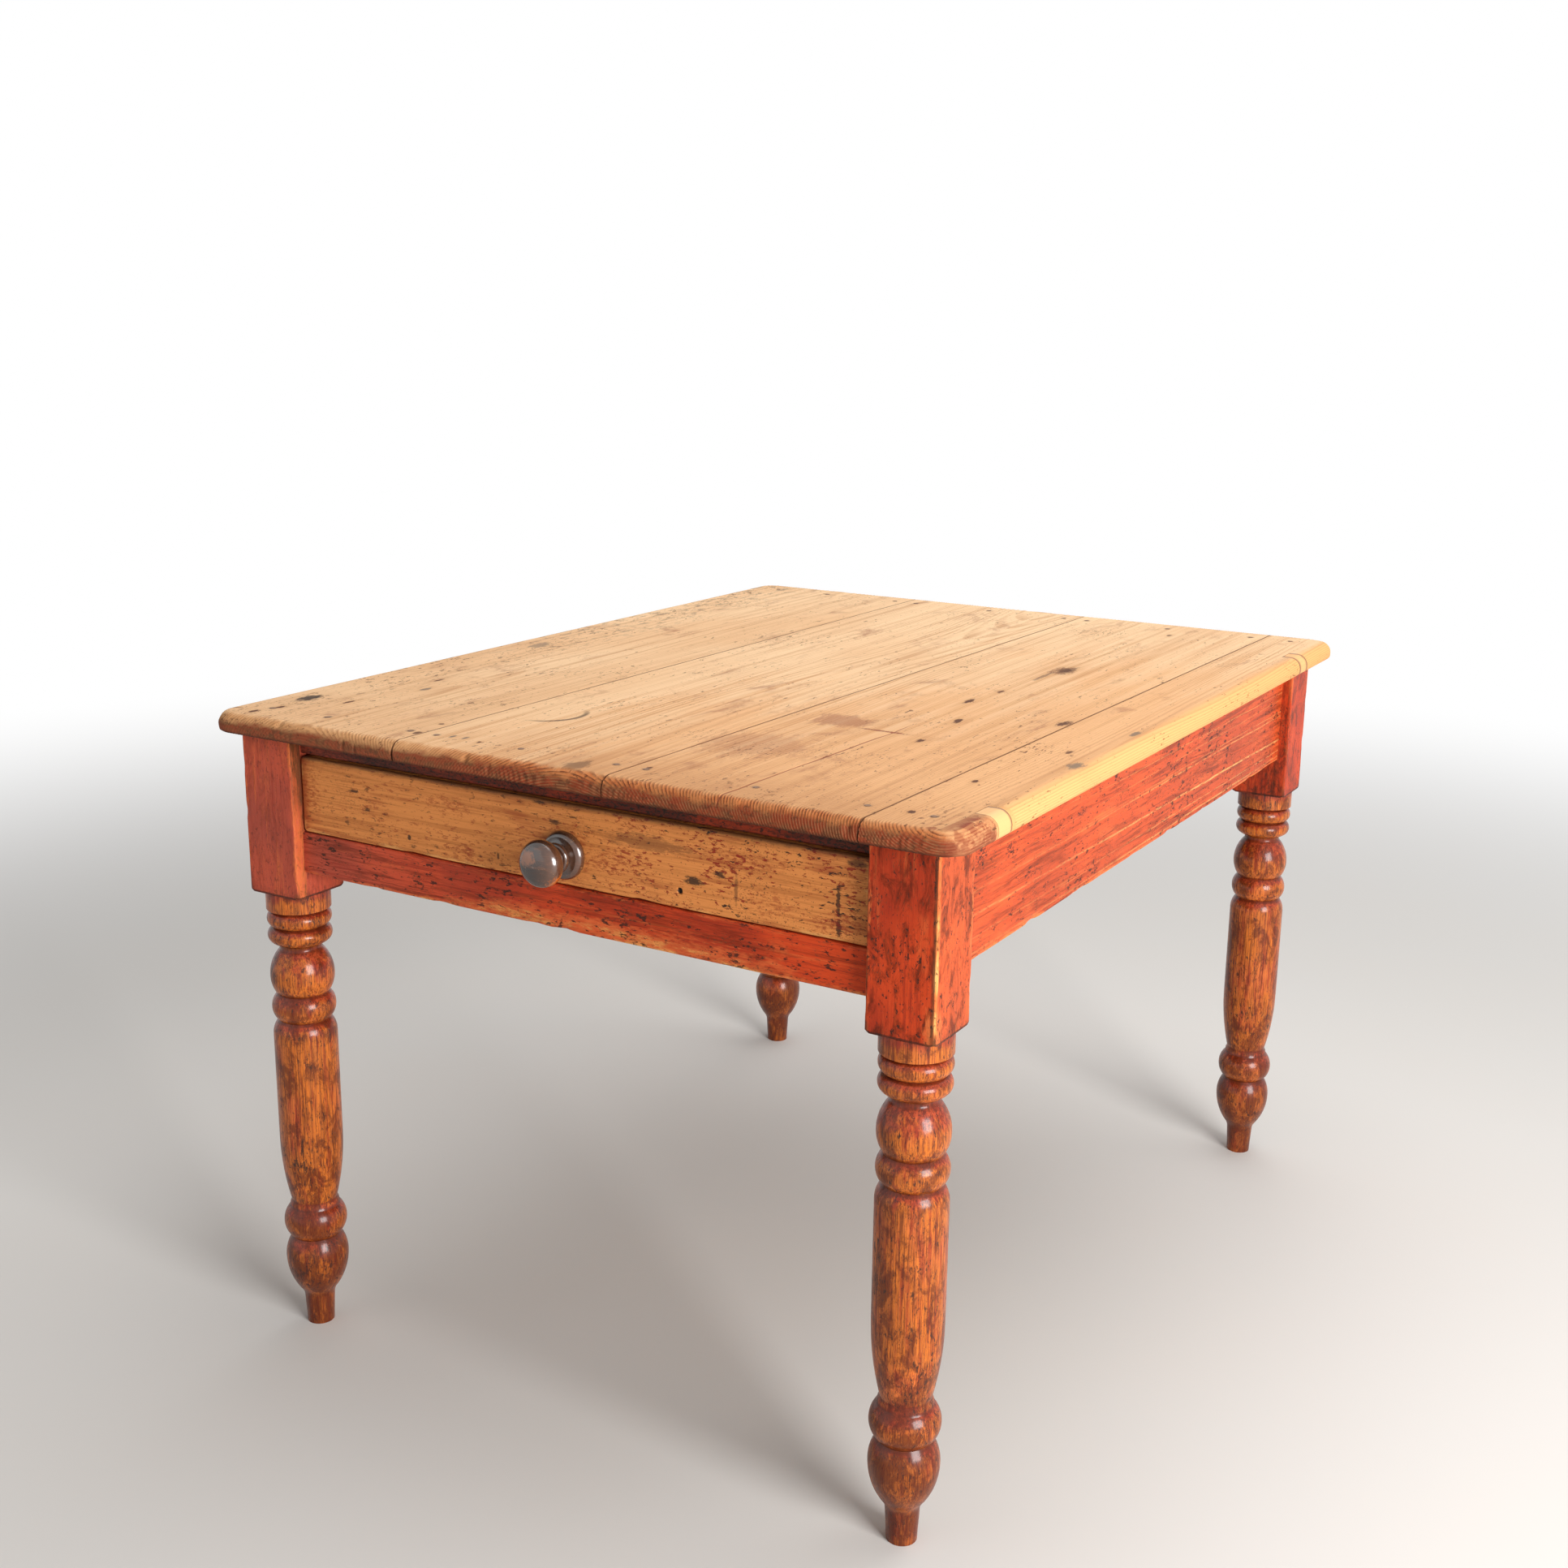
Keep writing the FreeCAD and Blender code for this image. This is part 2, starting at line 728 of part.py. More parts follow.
def drawer_way():
    """Runners, guides, kickers and stops, left and right."""
    guide_top = opening_foot + size.guide_height
    nail_length = size.guide_height + size.guide_nail_bite
    nail_ends = (size.guide_nail_inset - leg_inner_y, drawer_end - size.guide_nail_inset)
    nail_places = (nail_ends[0], (nail_ends[0] + nail_ends[1]) / 2, nail_ends[1])
    driven = []
    for side_name, side in SIDES.items():
        x = (leg_inner_x + apron_inner_x) / 2 * side
        for index, y in enumerate(nail_places, 1):
            driven.append(nail(f"guide_nail_{side_name}_{index}", x, y, guide_top, nail_length))
    nails = node(group("guide_nail_set", driven), "guide_nails")
    runners = []
    for side_name, side in SIDES.items():
        runners.append(runner_piece(f"drawer_runner_{side_name}", side, nails))
        guide = box(f"guide_{side_name}_strip", mirrored(side, leg_inner_x, apron_inner_x),
                    (-leg_inner_y, drawer_end), (opening_foot, guide_top))
        node(cut(f"guide_{side_name}_piece", guide, [nails]), f"drawer_guide_{side_name}")
        kicker(f"drawer_kicker_{side_name}", side)
        behind = drawer_end + size.stop_gap
        stop = box(f"stop_{side_name}_block", mirrored(side, tread_x, leg_inner_x),
                   (behind, behind + size.stop_length), (opening_foot, opening_foot + size.stop_height))
        node(stop, f"drawer_stop_{side_name}")
    return runners


def block_section(wall, side):
    """A glue block's section: square in the corner of rail and top, with its free corner taken off."""
    deep = wall - size.glue_block * side
    cut_across = deep + size.glue_block_chamfer * side
    foot = frame_top - size.glue_block
    return [(wall, foot), (wall, frame_top), (deep, frame_top), (deep, foot + size.glue_block_chamfer),
            (cut_across, foot)]


def glue_blocks():
    """Rubbed into the corners of aprons and top, behind the kickers."""
    free_length = leg_inner_y - drawer_end
    for side_name, side in SIDES.items():
        blocks = []
        for index, share in enumerate(SIDE_BLOCK_SHARES, 1):
            start = drawer_end + free_length * share - size.glue_block_length / 2
            blocks.append(prism(f"side_block_{side_name}_{index}", "XZ_Plane",
                                block_section(apron_inner_x * side, side), start,
                                start + size.glue_block_length))
        node(group(f"side_blocks_{side_name}", blocks), f"glue_blocks_{side_name}")
    far = leg_inner_x - size.glue_block_inset - size.glue_block_length
    starts = (-far - size.glue_block_length, -size.glue_block_length / 2, far)
    blocks = []
    for index, start in enumerate(starts, 1):
        blocks.append(prism(f"rear_block_{index}", "YZ_Plane", block_section(apron_inner_y, 1), start,
                            start + size.glue_block_length))
    node(group("rear_blocks", blocks), "glue_blocks_rear")


def tails(foot, top, root, tip):
    """Corners of a row of dovetails, from the lowest up, that widen from root to tip."""
    pitch = (top - foot) / TAILS
    root_half = pitch * TAIL_ROOT_SHARE / 2
    tip_half = pitch * TAIL_TIP_SHARE / 2
    corners = []
    for index in range(TAILS):
        centre = foot + pitch * index + pitch / 2
        corners += [(root, centre - root_half), (tip, centre - tip_half),
                    (tip, centre + tip_half), (root, centre + root_half)]
    return corners


def knob():
    """Turned in one piece with the spigot that is glued through the drawer front."""
    body = doc.addObject("PartDesign::Body", "knob_turning")
    place(body, size.knob_aside, drawer_face, opening_foot + size.knob_height)
    dome = size.knob_dome_radius
    dome_back = size.knob_dome_fall - size.knob_length
    widest = size.knob_ball_front - size.knob_length
    ball_back = widest + size.knob_ball_back
    rose_front = -size.knob_rose
    ring_front = rose_front - size.knob_ring
    flat = size.knob_rose_dish - size.knob_rose
    edge = -size.knob_rose_edge
    corner_along = edge - flat
    corner_across = size.knob_rose_radius - size.knob_rose_flat_radius
    corners = [
        rounded(ZERO, -size.knob_length, swell(size.knob_dome_fall, dome)),
        rounded(dome, dome_back, swell(size.knob_ball_radius - dome, widest - dome_back)),
        rounded(size.knob_ball_radius, widest,
                swell(size.knob_ball_radius - size.knob_neck_radius, size.knob_ball_back)),
        (size.knob_neck_radius, ball_back),
        rounded(size.knob_neck_radius, ring_front,
                bead(size.knob_ring_radius - size.knob_neck_radius, size.knob_ring)),
        hollow(size.knob_neck_radius, rose_front, size.knob_rose_dish_radius),
        rounded(size.knob_rose_flat_radius, flat, swell(corner_across, corner_along)),
        (size.knob_rose_radius, edge),
        (size.knob_rose_radius - size.knob_rose_undercut, ZERO),
        (size.knob_spigot_radius, ZERO),
        (size.knob_spigot_radius, size.drawer_front_thickness),
        (ZERO, size.drawer_front_thickness),
    ]
    sketch = sketch_on(body, "XY_Plane", "knob_profile")
    draw(sketch, corners)
    revolve(body, sketch, "knob_revolution")
    return node(body, "drawer_knob")


def drawer_bottom(nails):
    """Three thin boards across the drawer, held in grooves and nailed up into the back."""
    half = drawer_half - size.drawer_side_thickness + size.bottom_groove
    foot = side_foot + size.bottom_lift
    start = drawer_face + size.drawer_front_thickness - size.bottom_groove
    pitch = (drawer_end - start) / len(BOTTOM_BOARDS)
    boards = []
    for index, place_name in enumerate(BOTTOM_BOARDS):
        near = start + pitch * index
        board = box(f"bottom_{place_name}_board", (-half, half), (near, near + pitch - size.bottom_gap),
                    (foot, foot + size.bottom_thickness))
        if place_name == "rear":
            board = cut("bottom_rear_piece", board, [nails])
        boards.append(node(board, f"drawer_bottom_{place_name}"))
    return boards


def drawer():
    """Lapped dovetails at the front, through dovetails at the back."""
    front_back = drawer_face + size.drawer_front_thickness
    back_inner = drawer_end - size.drawer_back_thickness
    back_foot = side_foot + size.bottom_lift + size.bottom_thickness
    back_top = side_top - size.drawer_back_drop
    nail_far = drawer_half - size.bottom_nail_inset
    nail_length = size.bottom_thickness + size.bottom_nail_bite
    driven = []
    for index, x in enumerate((-nail_far, -nail_far / 3, nail_far / 3, nail_far), 1):
        driven.append(nail(f"bottom_nail_{index}", x, (back_inner + drawer_end) / 2,
                           side_foot + size.bottom_lift, nail_length, points_up=True))
    nails = node(group("bottom_nail_set", driven), "drawer_bottom_nails")
    boards = drawer_bottom(nails)
    outline = [(front_back, side_foot), (drawer_end, side_foot), (drawer_end, back_foot),
               (back_inner, back_foot)]
    outline += tails(back_foot, back_top, back_inner, drawer_end)
    outline += [(back_inner, side_top), (front_back, side_top)]
    outline += reversed(tails(side_foot, side_top, front_back, drawer_face + size.dovetail_lap))
    sides = []
    for side_name, side in SIDES.items():
        span = mirrored(side, drawer_half - size.drawer_side_thickness, drawer_half)
        board = prism(f"drawer_{side_name}_board", "YZ_Plane", outline, *span)
        sides.append(node(cut(f"drawer_{side_name}_piece", board, boards), f"drawer_side_{side_name}"))
    face = rounded_rectangle((-drawer_half, drawer_half),
                             (opening_foot + size.drawer_foot_gap, opening_top - size.drawer_head_gap),
                             size.drawer_corner_radius)
    front = prism("drawer_front_board", "XZ_Plane", face, drawer_face, front_back)
    shown = -size.drawer_front_thickness.value
    rounded_edge(front, front.Tip, "drawer_front_edge", size.drawer_front_arris,
                 lambda points: all(same(point.y, shown) for point in points))
    node(cut("drawer_front_piece", front, sides + boards + [knob()]), "drawer_front")
    back = box("drawer_back_board", (-drawer_half, drawer_half), (back_inner, drawer_end),
               (back_foot, back_top))
    node(cut("drawer_back_piece", back, sides + [nails]), "drawer_back")


def build():
    nails = top_nails()
    top_boards(nails)
    runners = drawer_way()
    side_aprons = {name: side_apron(f"side_apron_{name}", side) for name, side in SIDES.items()}
    legs(side_aprons, rear_apron(runners, nails), lower_rail(runners), upper_rail(nails), nails)
    glue_blocks()
    drawer()
    doc.recompute()


def check():
    """Every object has to be sound before anything is written."""
    failed = [thing.Name for thing in doc.Objects if "Invalid" in thing.State or "Error" in thing.State]
    if failed:
        raise RuntimeError(f"objects that failed to build: {failed}")
    for thing in nodes:
        if thing.Shape.isNull() or not thing.Shape.isValid() or not thing.Shape.Solids:
            raise RuntimeError(f"no sound solid in {thing.Label}")


def export():
    os.makedirs("parts", exist_ok=True)
    for thing in nodes:
        thing.Shape.exportStep(f"parts/{thing.Label}.step")


build()
check()
export()
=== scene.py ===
"""Looks of an old kitchen table: worn pine top, rubbed red frame, turned legs and one drawer.

Lengths are metres in the table's own frame: +Z is up and the drawer faces -Y.
"""
import math

import bmesh
import bpy
from bpy.props import FloatProperty, FloatVectorProperty, IntProperty, PointerProperty
from bpy.types import Operator, Panel, PropertyGroup
from mathutils import Matrix, Vector, noise


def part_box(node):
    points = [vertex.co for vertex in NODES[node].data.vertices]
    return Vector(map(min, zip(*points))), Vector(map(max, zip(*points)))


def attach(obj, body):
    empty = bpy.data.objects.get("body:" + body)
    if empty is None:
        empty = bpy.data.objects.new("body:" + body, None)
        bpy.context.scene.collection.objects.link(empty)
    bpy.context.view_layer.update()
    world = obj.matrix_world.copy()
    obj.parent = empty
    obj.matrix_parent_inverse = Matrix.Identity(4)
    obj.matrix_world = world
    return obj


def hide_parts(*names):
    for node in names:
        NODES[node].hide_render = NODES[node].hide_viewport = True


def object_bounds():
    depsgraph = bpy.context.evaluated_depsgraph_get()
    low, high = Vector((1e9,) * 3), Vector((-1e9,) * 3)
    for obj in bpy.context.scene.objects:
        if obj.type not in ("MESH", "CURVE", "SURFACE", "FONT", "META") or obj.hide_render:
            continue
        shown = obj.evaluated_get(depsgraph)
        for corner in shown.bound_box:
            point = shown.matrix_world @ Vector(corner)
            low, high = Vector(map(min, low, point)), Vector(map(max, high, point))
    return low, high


bl_info = {
    "name": "Old kitchen table",
    "version": (1, 0, 0),
    "blender": (4, 5, 0),
    "location": "View3D > Sidebar > Table",
    "description": "Builds the worn surfaces of a kitchen table around its solid model",
    "category": "Object",
}

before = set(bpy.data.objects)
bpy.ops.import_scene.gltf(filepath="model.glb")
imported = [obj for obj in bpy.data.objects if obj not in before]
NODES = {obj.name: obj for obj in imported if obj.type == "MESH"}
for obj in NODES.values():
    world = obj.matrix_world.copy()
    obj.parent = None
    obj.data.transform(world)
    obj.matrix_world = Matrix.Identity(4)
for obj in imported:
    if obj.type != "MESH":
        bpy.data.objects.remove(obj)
CAD_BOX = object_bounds()
MM = 0.001
TINY = 1e-6
UP = Vector((0.0, 0.0, 1.0))
TOP_Z = CAD_BOX[1].z
TOP_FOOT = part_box("top_board_1")[0].z
FRONT_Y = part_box("top_board_1")[0].y
REAR_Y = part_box("top_board_1")[1].y
SIDE_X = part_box("top_board_1")[0].x

BOARDS = ("top_board_1", "top_board_2", "top_board_3", "top_board_4")
PATCHES = ("edge_patch_front", "edge_patch_rear")
LEGS = ("leg_front_left", "leg_front_right", "leg_rear_left", "leg_rear_right")

# Growth rings of each board: where the heart of the tree lay across and in height (mm), the width
# of one year (mm), how far the heart strays along the length (mm), and the tone: a higher one has
# paler wood and stronger lines.
RINGS = {
    "top_board_1": {"heart": (-318, 690), "year": 3.4, "stray": 34, "tone": 0.42},
    "top_board_2": {"heart": (30, 640), "year": 3.1, "stray": 42, "tone": 0.62},
    "top_board_3": {"heart": (40, 655), "year": 3.0, "stray": 30, "tone": 0.50},
    "top_board_4": {"heart": (452, 812), "year": 2.7, "stray": 12, "tone": 0.55},
}

# Dents and chips of the top (mm): place, reach in x, y and z, depth.
DENTS = (
    ((-358, -584, 757), (7, 12, 6), 2.4), ((-262, -586, 746), (4, 8, 9), 2.6),
    ((-245, -586, 744), (3, 8, 9), 2.2), ((-193, -586, 742), (2.5, 16, 16), 2.2),
    ((-95, -584, 754), (6, 11, 6), 2.8), ((-63, -586, 748), (4, 9, 8), 1.6),
    ((38, -586, 742), (9, 9, 6), 1.6), ((120, -586, 756), (4, 8, 4), 1.2),
    ((236, -585, 757), (3, 9, 4), 1.0), ((352, -586, 749), (6, 9, 7), 2.4),
    ((404, -586, 744), (4, 9, 6), 1.5), ((458, -566, 748), (8, 8, 7), 1.4),
    ((-455, -571, 752), (6, 7, 5), 1.6), ((-465, -402, 753), (6, 6, 5), 1.4),
    ((-465, -96, 756), (6, 9, 4), 1.6), ((-465, 214, 750), (5, 7, 6), 1.3),
    ((-465, 407, 757), (6, 12, 4), 1.5), ((465, 96, 750), (5, 7, 6), 1.0),
    ((-250, 603, 752), (5, 8, 6), 1.8), ((-40, 603, 756), (6, 9, 5), 1.5),
    ((226, 603, 749), (4, 8, 7), 1.9),
)

# The long crack in the third board (mm): its start at the front, and how far it strays to the right
# for each length it runs.
CRACK_START = (212.0, -577.0)
CRACK_STRAY = 0.032

# Stains on the top (mm): place, half width, half length, strength, finish colour.
STAINS = (
    (-419, -474, 13, 22, 0.62, "soot_and_shade"), (-420, -558, 3, 9, 0.75, "stain"),
    (-411, -527, 4, 7, 0.75, "stain"), (-367, -463, 2.6, 10, 0.8, "stain"),
    (-344, -360, 5, 9, 0.55, "grey"), (-367, -311, 2.4, 11, 0.8, "stain"), (-204, -493, 4, 4, 0.6, "stain"),
    (-196, -540, 4.5, 8, 0.6, "stain"), (-155, -531, 3, 6, 0.65, "grey"), (-139, -530, 3, 7, 0.6, "grey"),
    (-115, -537, 2, 5, 0.7, "stain"), (-414, -56, 13, 24, 0.4, "grey"), (149, -235, 38, 34, 0.34, "plum"),
    (128, -385, 66, 66, 0.2, "plum"), (209, -254, 38, 3, 0.6, "plum"), (256, -164, 5, 14, 0.8, "stain"),
    (266, -273, 6, 10, 0.7, "stain"), (219, -59, 4.5, 17, 0.7, "stain"), (238, 180, 8, 15, 0.9, "soot_and_shade"),
    (238, 178, 15, 30, 0.5, "stain"), (231, 138, 3.6, 46, 0.4, "stain"), (227, 13, 4, 10, 0.6, "stain"),
    (360, -110, 7, 17, 0.65, "stain"), (445, -113, 6, 14, 0.55, "grey"), (419, -234, 4, 10, 0.6, "stain"),
    (446, -286, 10, 18, 0.55, "grey"), (389, -398, 3, 6, 0.65, "stain"), (258, 504, 4, 9, 0.5, "stain"),
    (96, -529, 3, 4, 0.65, "stain"), (390, -533, 4, 5, 0.7, "stain"), (431, -572, 8, 5, 0.6, "plum"),
    (30, -560, 16, 20, 0.35, "soot_and_shade"),
)

# A curved scratch on the top: its centre and radius (m).
CURVE_CENTRE = (-0.145, -0.382, 0.0)
CURVE_RADIUS = 0.043

# Marks on the drawer front (mm): place, half width, half height, strength, finish colour. The mark at (344,
# 707) is a painted shadow at the upper right.
FRONT_MARKS = (
    (6, 661, 37, 38, 0.6, "paint_deep"), (65, 661, 30, 15, 0.65, "paint_deep"),
    (325, 668, 2.6, 19, 0.85, "soot_and_shade"), (326, 643, 3.4, 13, 0.9, "soot_and_shade"),
    (332, 647, 22, 15, 0.7, "paint_deep"), (309, 641, 15, 11, 0.65, "paint_deep"),
    (334, 685, 14, 5, 0.6, "paint_deep"), (162, 659, 11, 5, 0.9, "soot_and_shade"), (193, 671, 7, 4, 0.85, "soot_and_shade"),
    (344, 707, 12, 4, 0.7, "soot_and_shade"), (-282, 686, 8, 2.2, 0.85, "soot_and_shade"), (-264, 667, 5, 2.4, 0.8, "soot_and_shade"),
    (-204, 646, 2.6, 3.4, 0.9, "soot_and_shade"), (-25, 711, 9, 2, 0.8, "soot_and_shade"), (-6, 693, 8, 3, 0.75, "soot_and_shade"),
    (-82, 645, 1.8, 3, 0.8, "soot_and_shade"), (-123, 644, 16, 8, 0.65, "paint_deep"),
    (-150, 690, 34, 12, 0.55, "paint_deep"), (-345, 672, 12, 26, 0.6, "paint_deep"),
    (212, 659, 2.2, 18, 0.6, "stain"), (250, 650, 30, 16, 0.5, "paint_deep"),
    (105, 690, 60, 9, 0.5, "stain"), (225, 690, 60, 12, 0.5, "paint_deep"),
)

# Pale scratches along the right rail (mm): height at the middle, slope, half width, strength.
RAIL_SCRATCHES = (
    (667.5, -0.004, 1.3, 0.5), (671.0, 0.0, 0.8, 0.35), (639.5, -0.016, 1.7, 0.85),
    (620.0, -0.008, 1.1, 0.45), (700.0, -0.006, 0.9, 0.35), (686.0, 0.004, 0.7, 0.3),
    (608.0, 0.0, 1.6, 0.5),
)

# Dark dents in the rails (mm): place and reach.
RAIL_MARKS = (
    ((423, -62, 664), (40, 16, 5)), ((423, -330, 656), (40, 20, 7)), ((423, -289, 630), (40, 9, 5)),
    ((423, -415, 622), (40, 12, 4)), ((423, -353, 619), (40, 7, 4)), ((423, -447, 700), (40, 13, 13)),
    ((423, -380, 694), (40, 18, 10)), ((423, -200, 690), (40, 15, 6)), ((423, 60, 620), (40, 16, 4)),
    ((423, 240, 690), (40, 20, 6)), ((423, -150, 612), (40, 9, 4)), ((252, -551, 609), (28, 30, 2.4)),
    ((222, -551, 625), (5, 30, 6)), ((-194, -551, 602), (3, 30, 10)), ((-70, -551, 620), (20, 30, 4)),
)

# Where points are set to carry wear (mm): in from a board's end, across a nail, in from the sides
# of a leg's head, and across the old hole in the drawer front, whose place is in metres.
END_CUTS = (3, 6, 10, 14, 18, 22, 27, 33, 50)
NAIL_CUTS = (-6, -4.2, -3, -1.5, 0, 1.5, 3, 4.2, 6)
HEAD_CUTS = (3.5, 5, 6.5, 8, 11, 14, 18, 26, 37)
HOLE_CUTS = (-5, -3.4, -1.7, 0, 1.7, 3.4, 5)
OLD_HOLE = (0.1464, 0.6465)

# Floor (m): half its width, and how far out it starts to whiten and is white.
FLOOR_HALF = 30.0
FLOOR_WHITENS = (1.3, 4.0)

# The camera's sensor (mm), and the point (m) that the lamps face.
SENSOR_WIDTH = 36.0
LIT_POINT = Vector((0.0, 0.0, 0.55))


def length(label, note, metres):
    return FloatProperty(name=label, description=note, default=metres, unit="LENGTH")


def watts(label, note, power):
    return FloatProperty(name=label, description=note, default=power, unit="POWER")


def direction(label, note, *way):
    return FloatVectorProperty(name=label, description=note, default=way, size=3, subtype="DIRECTION")


def colour(label, note, *shade):
    return FloatVectorProperty(name=label, description=note, default=shade, size=3, subtype="COLOR_GAMMA")


class TableSizes(PropertyGroup):
    """Sizes of the worn surfaces."""

    upper_round: length("Upper round", "Radius of the top's upper edge", 0.014)
    lower_round: length("Lower round", "Radius of the top's lower edge", 0.005)
    corner_radius: length("Corner radius", "Radius of the top's corners in plan", 0.030)
    seam_ease: length("Seam ease", "Width rubbed off a board's edge along a seam", 0.0007)
    ridge_depth: length("Ridge depth", "Depth worn between the rings on end grain", 0.0009)
    end_reach: length("End reach", "How far the worn end grain reaches in", 0.022)
    top_wave: length("Top wave", "Unevenness of the top", 0.0005)
    grid: length("Grid", "Spacing of the points that carry the top's ridges", 0.0010)
    arris: length("Arris", "Rounding of a painted edge", 0.0025)
    arris_loss: length("Arris loss", "Most that wear takes off a painted edge", 0.0016)
    drawer_corner: length("Drawer corner", "Rounding of the drawer front's corners", 0.005)
    turning_steps: IntProperty(name="Turning steps", description="Points round a turned leg", default=96)


class TableColours(PropertyGroup):
    """Colours of the wood, the paint and the iron."""

    pine_honey: colour("Honey pine", "Main colour of the top", 0.90, 0.72, 0.54)
    pine_pale: colour("Pale pine", "Paler streaks of the top", 0.95, 0.80, 0.63)
    pine_amber: colour("Amber pine", "Warmer pine towards the right and the front", 0.89, 0.66, 0.45)
    pine_line: colour("Ring line", "Late wood of the top", 0.70, 0.48, 0.30)
    pine_fresh: colour("Fresh pine", "Bare edge on the right", 0.93, 0.68, 0.435)
    cream: colour("Cream pine", "Patches let into the edge", 0.90, 0.69, 0.45)
    end_ridge: colour("End ridge", "Ridges of worn end grain", 0.84, 0.62, 0.42)
    end_groove: colour("End groove", "Grooves of worn end grain", 0.40, 0.19, 0.105)
    end_brown: colour("End brown", "Orange brown of the worn front edge", 0.77, 0.43, 0.22)
    end_red: colour("End red", "Red brown along the foot of the front edge", 0.50, 0.175, 0.105)
    stain: colour("Stain", "Brown stains and dents", 0.36, 0.22, 0.14)
    plum: colour("Plum stain", "Red purple stains", 0.53, 0.28, 0.19)
    grey: colour("Grey stain", "Grey scuffs", 0.46, 0.40, 0.34)
    # Soot also serves as painted shade: along the foot of the top's ends, on the drawer front's upper edge
    # and upper right, on the upper rail and on the legs' heads.
    soot_and_shade: colour("Soot", "Near black flecks and burns", 0.16, 0.12, 0.10)
    paint: colour("Red paint", "Main red of the frame", 0.80, 0.275, 0.125)
    paint_deep: colour("Deep red", "Darker paint", 0.53, 0.15, 0.10)
    paint_dull: colour("Dull red", "Faded paint towards the left", 0.72, 0.39, 0.32)
    # Thin red also serves as painted light on the right faces of the right legs' heads and on the right side
    # apron.
    thin_paint_and_painted_light: colour("Thin red", "Paint rubbed thin", 0.89, 0.46, 0.25)
    leg_red: colour("Leg red", "Red left on the turned legs", 0.69, 0.26, 0.16)
    rubbed: colour("Rubbed wood", "Bare wood of the legs", 0.80, 0.425, 0.135)
    bark: colour("Dark grain", "Dark grain and old polish of the legs", 0.33, 0.12, 0.05)
    bare: colour("Bare wood", "Worn edges", 0.93, 0.70, 0.42)
    front_wood: colour("Drawer front", "Stripped wood of the drawer front", 0.845, 0.535, 0.285)
    front_deep: colour("Drawer front grain", "Darker grain of the drawer front", 0.60, 0.33, 0.16)
    raw: colour("Raw pine", "Wood inside the frame", 0.78, 0.62, 0.42)
    raw_line: colour("Raw pine line", "Grain inside the frame", 0.55, 0.38, 0.23)
    knob: colour("Knob", "Dark varnished knob", 0.17, 0.11, 0.085)
    knob_worn: colour("Worn knob", "Varnish rubbed through on the knob", 0.58, 0.36, 0.23)
    iron: colour("Iron", "Nails", 0.46, 0.36, 0.28)
    rust: colour("Rust", "Rust on the nails", 0.52, 0.35, 0.23)
    floor: colour("Floor", "Pale floor", 0.87, 0.86, 0.845)


class TableStage(PropertyGroup):
    """Camera and light."""

    camera_place: FloatVectorProperty(
        name="Camera place", description="Where the camera stands", subtype="TRANSLATION", unit="LENGTH",
        size=3, default=(1.14595, -2.02171, 1.21222))
    camera_forward: direction("Camera forward", "Where the camera looks", -0.49784, 0.83082, -0.24876)
    camera_right: direction("Camera right", "The right of the picture", 0.8562, 0.51651, 0.01156)
    lens: FloatProperty(name="Lens", description="Focal length in mm on a 36 mm sensor", default=43.489)
    key_power: watts("Key", "Soft light from the right", 178.0)
    over_power: watts("Overhead", "Soft light from above", 69.0)
    fill_power: watts("Fill", "Weak light from the front left", 9.0)
    sky: FloatProperty(name="Sky", description="Even light from all round", default=0.22)


def sizes():
    return bpy.context.scene.table_sizes


def linear(name):
    """A finish colour as the shaders take it."""
    shades = getattr(bpy.context.scene.table_colours, name)
    return (*(c / 12.92 if c <= 0.04045 else ((c + 0.055) / 1.055) ** 2.4 for c in shades), 1.0)


class Field:
    """A number that varies over a surface."""

    def __init__(self, finish, socket):
        self.finish = finish
        self.socket = socket

    def math(self, operation, *others):
        return self.finish.math(operation, self, *others)

    def __add__(self, other):
        return self.math("ADD", other)

    __radd__ = __add__

    def __sub__(self, other):
        return self.math("SUBTRACT", other)

    def __rsub__(self, other):
        return self.finish.math("SUBTRACT", other, self)

    def __mul__(self, other):
        return self.math("MULTIPLY", other)

    __rmul__ = __mul__

    def between(self, low, high):
        """0 below low, 1 above high, and a soft step between."""
        return self.finish.step(self, low, high)

    def below(self, low, high):
        """1 below low, 0 above high, and a soft step between."""
        return 1.0 - self.between(low, high)

    def ring_line(self):
        """Dark late wood of growth rings, from a count of years."""
        share = self.math("FRACT")
        return share.between(0.30, 0.86) * share.below(0.93, 1.0)


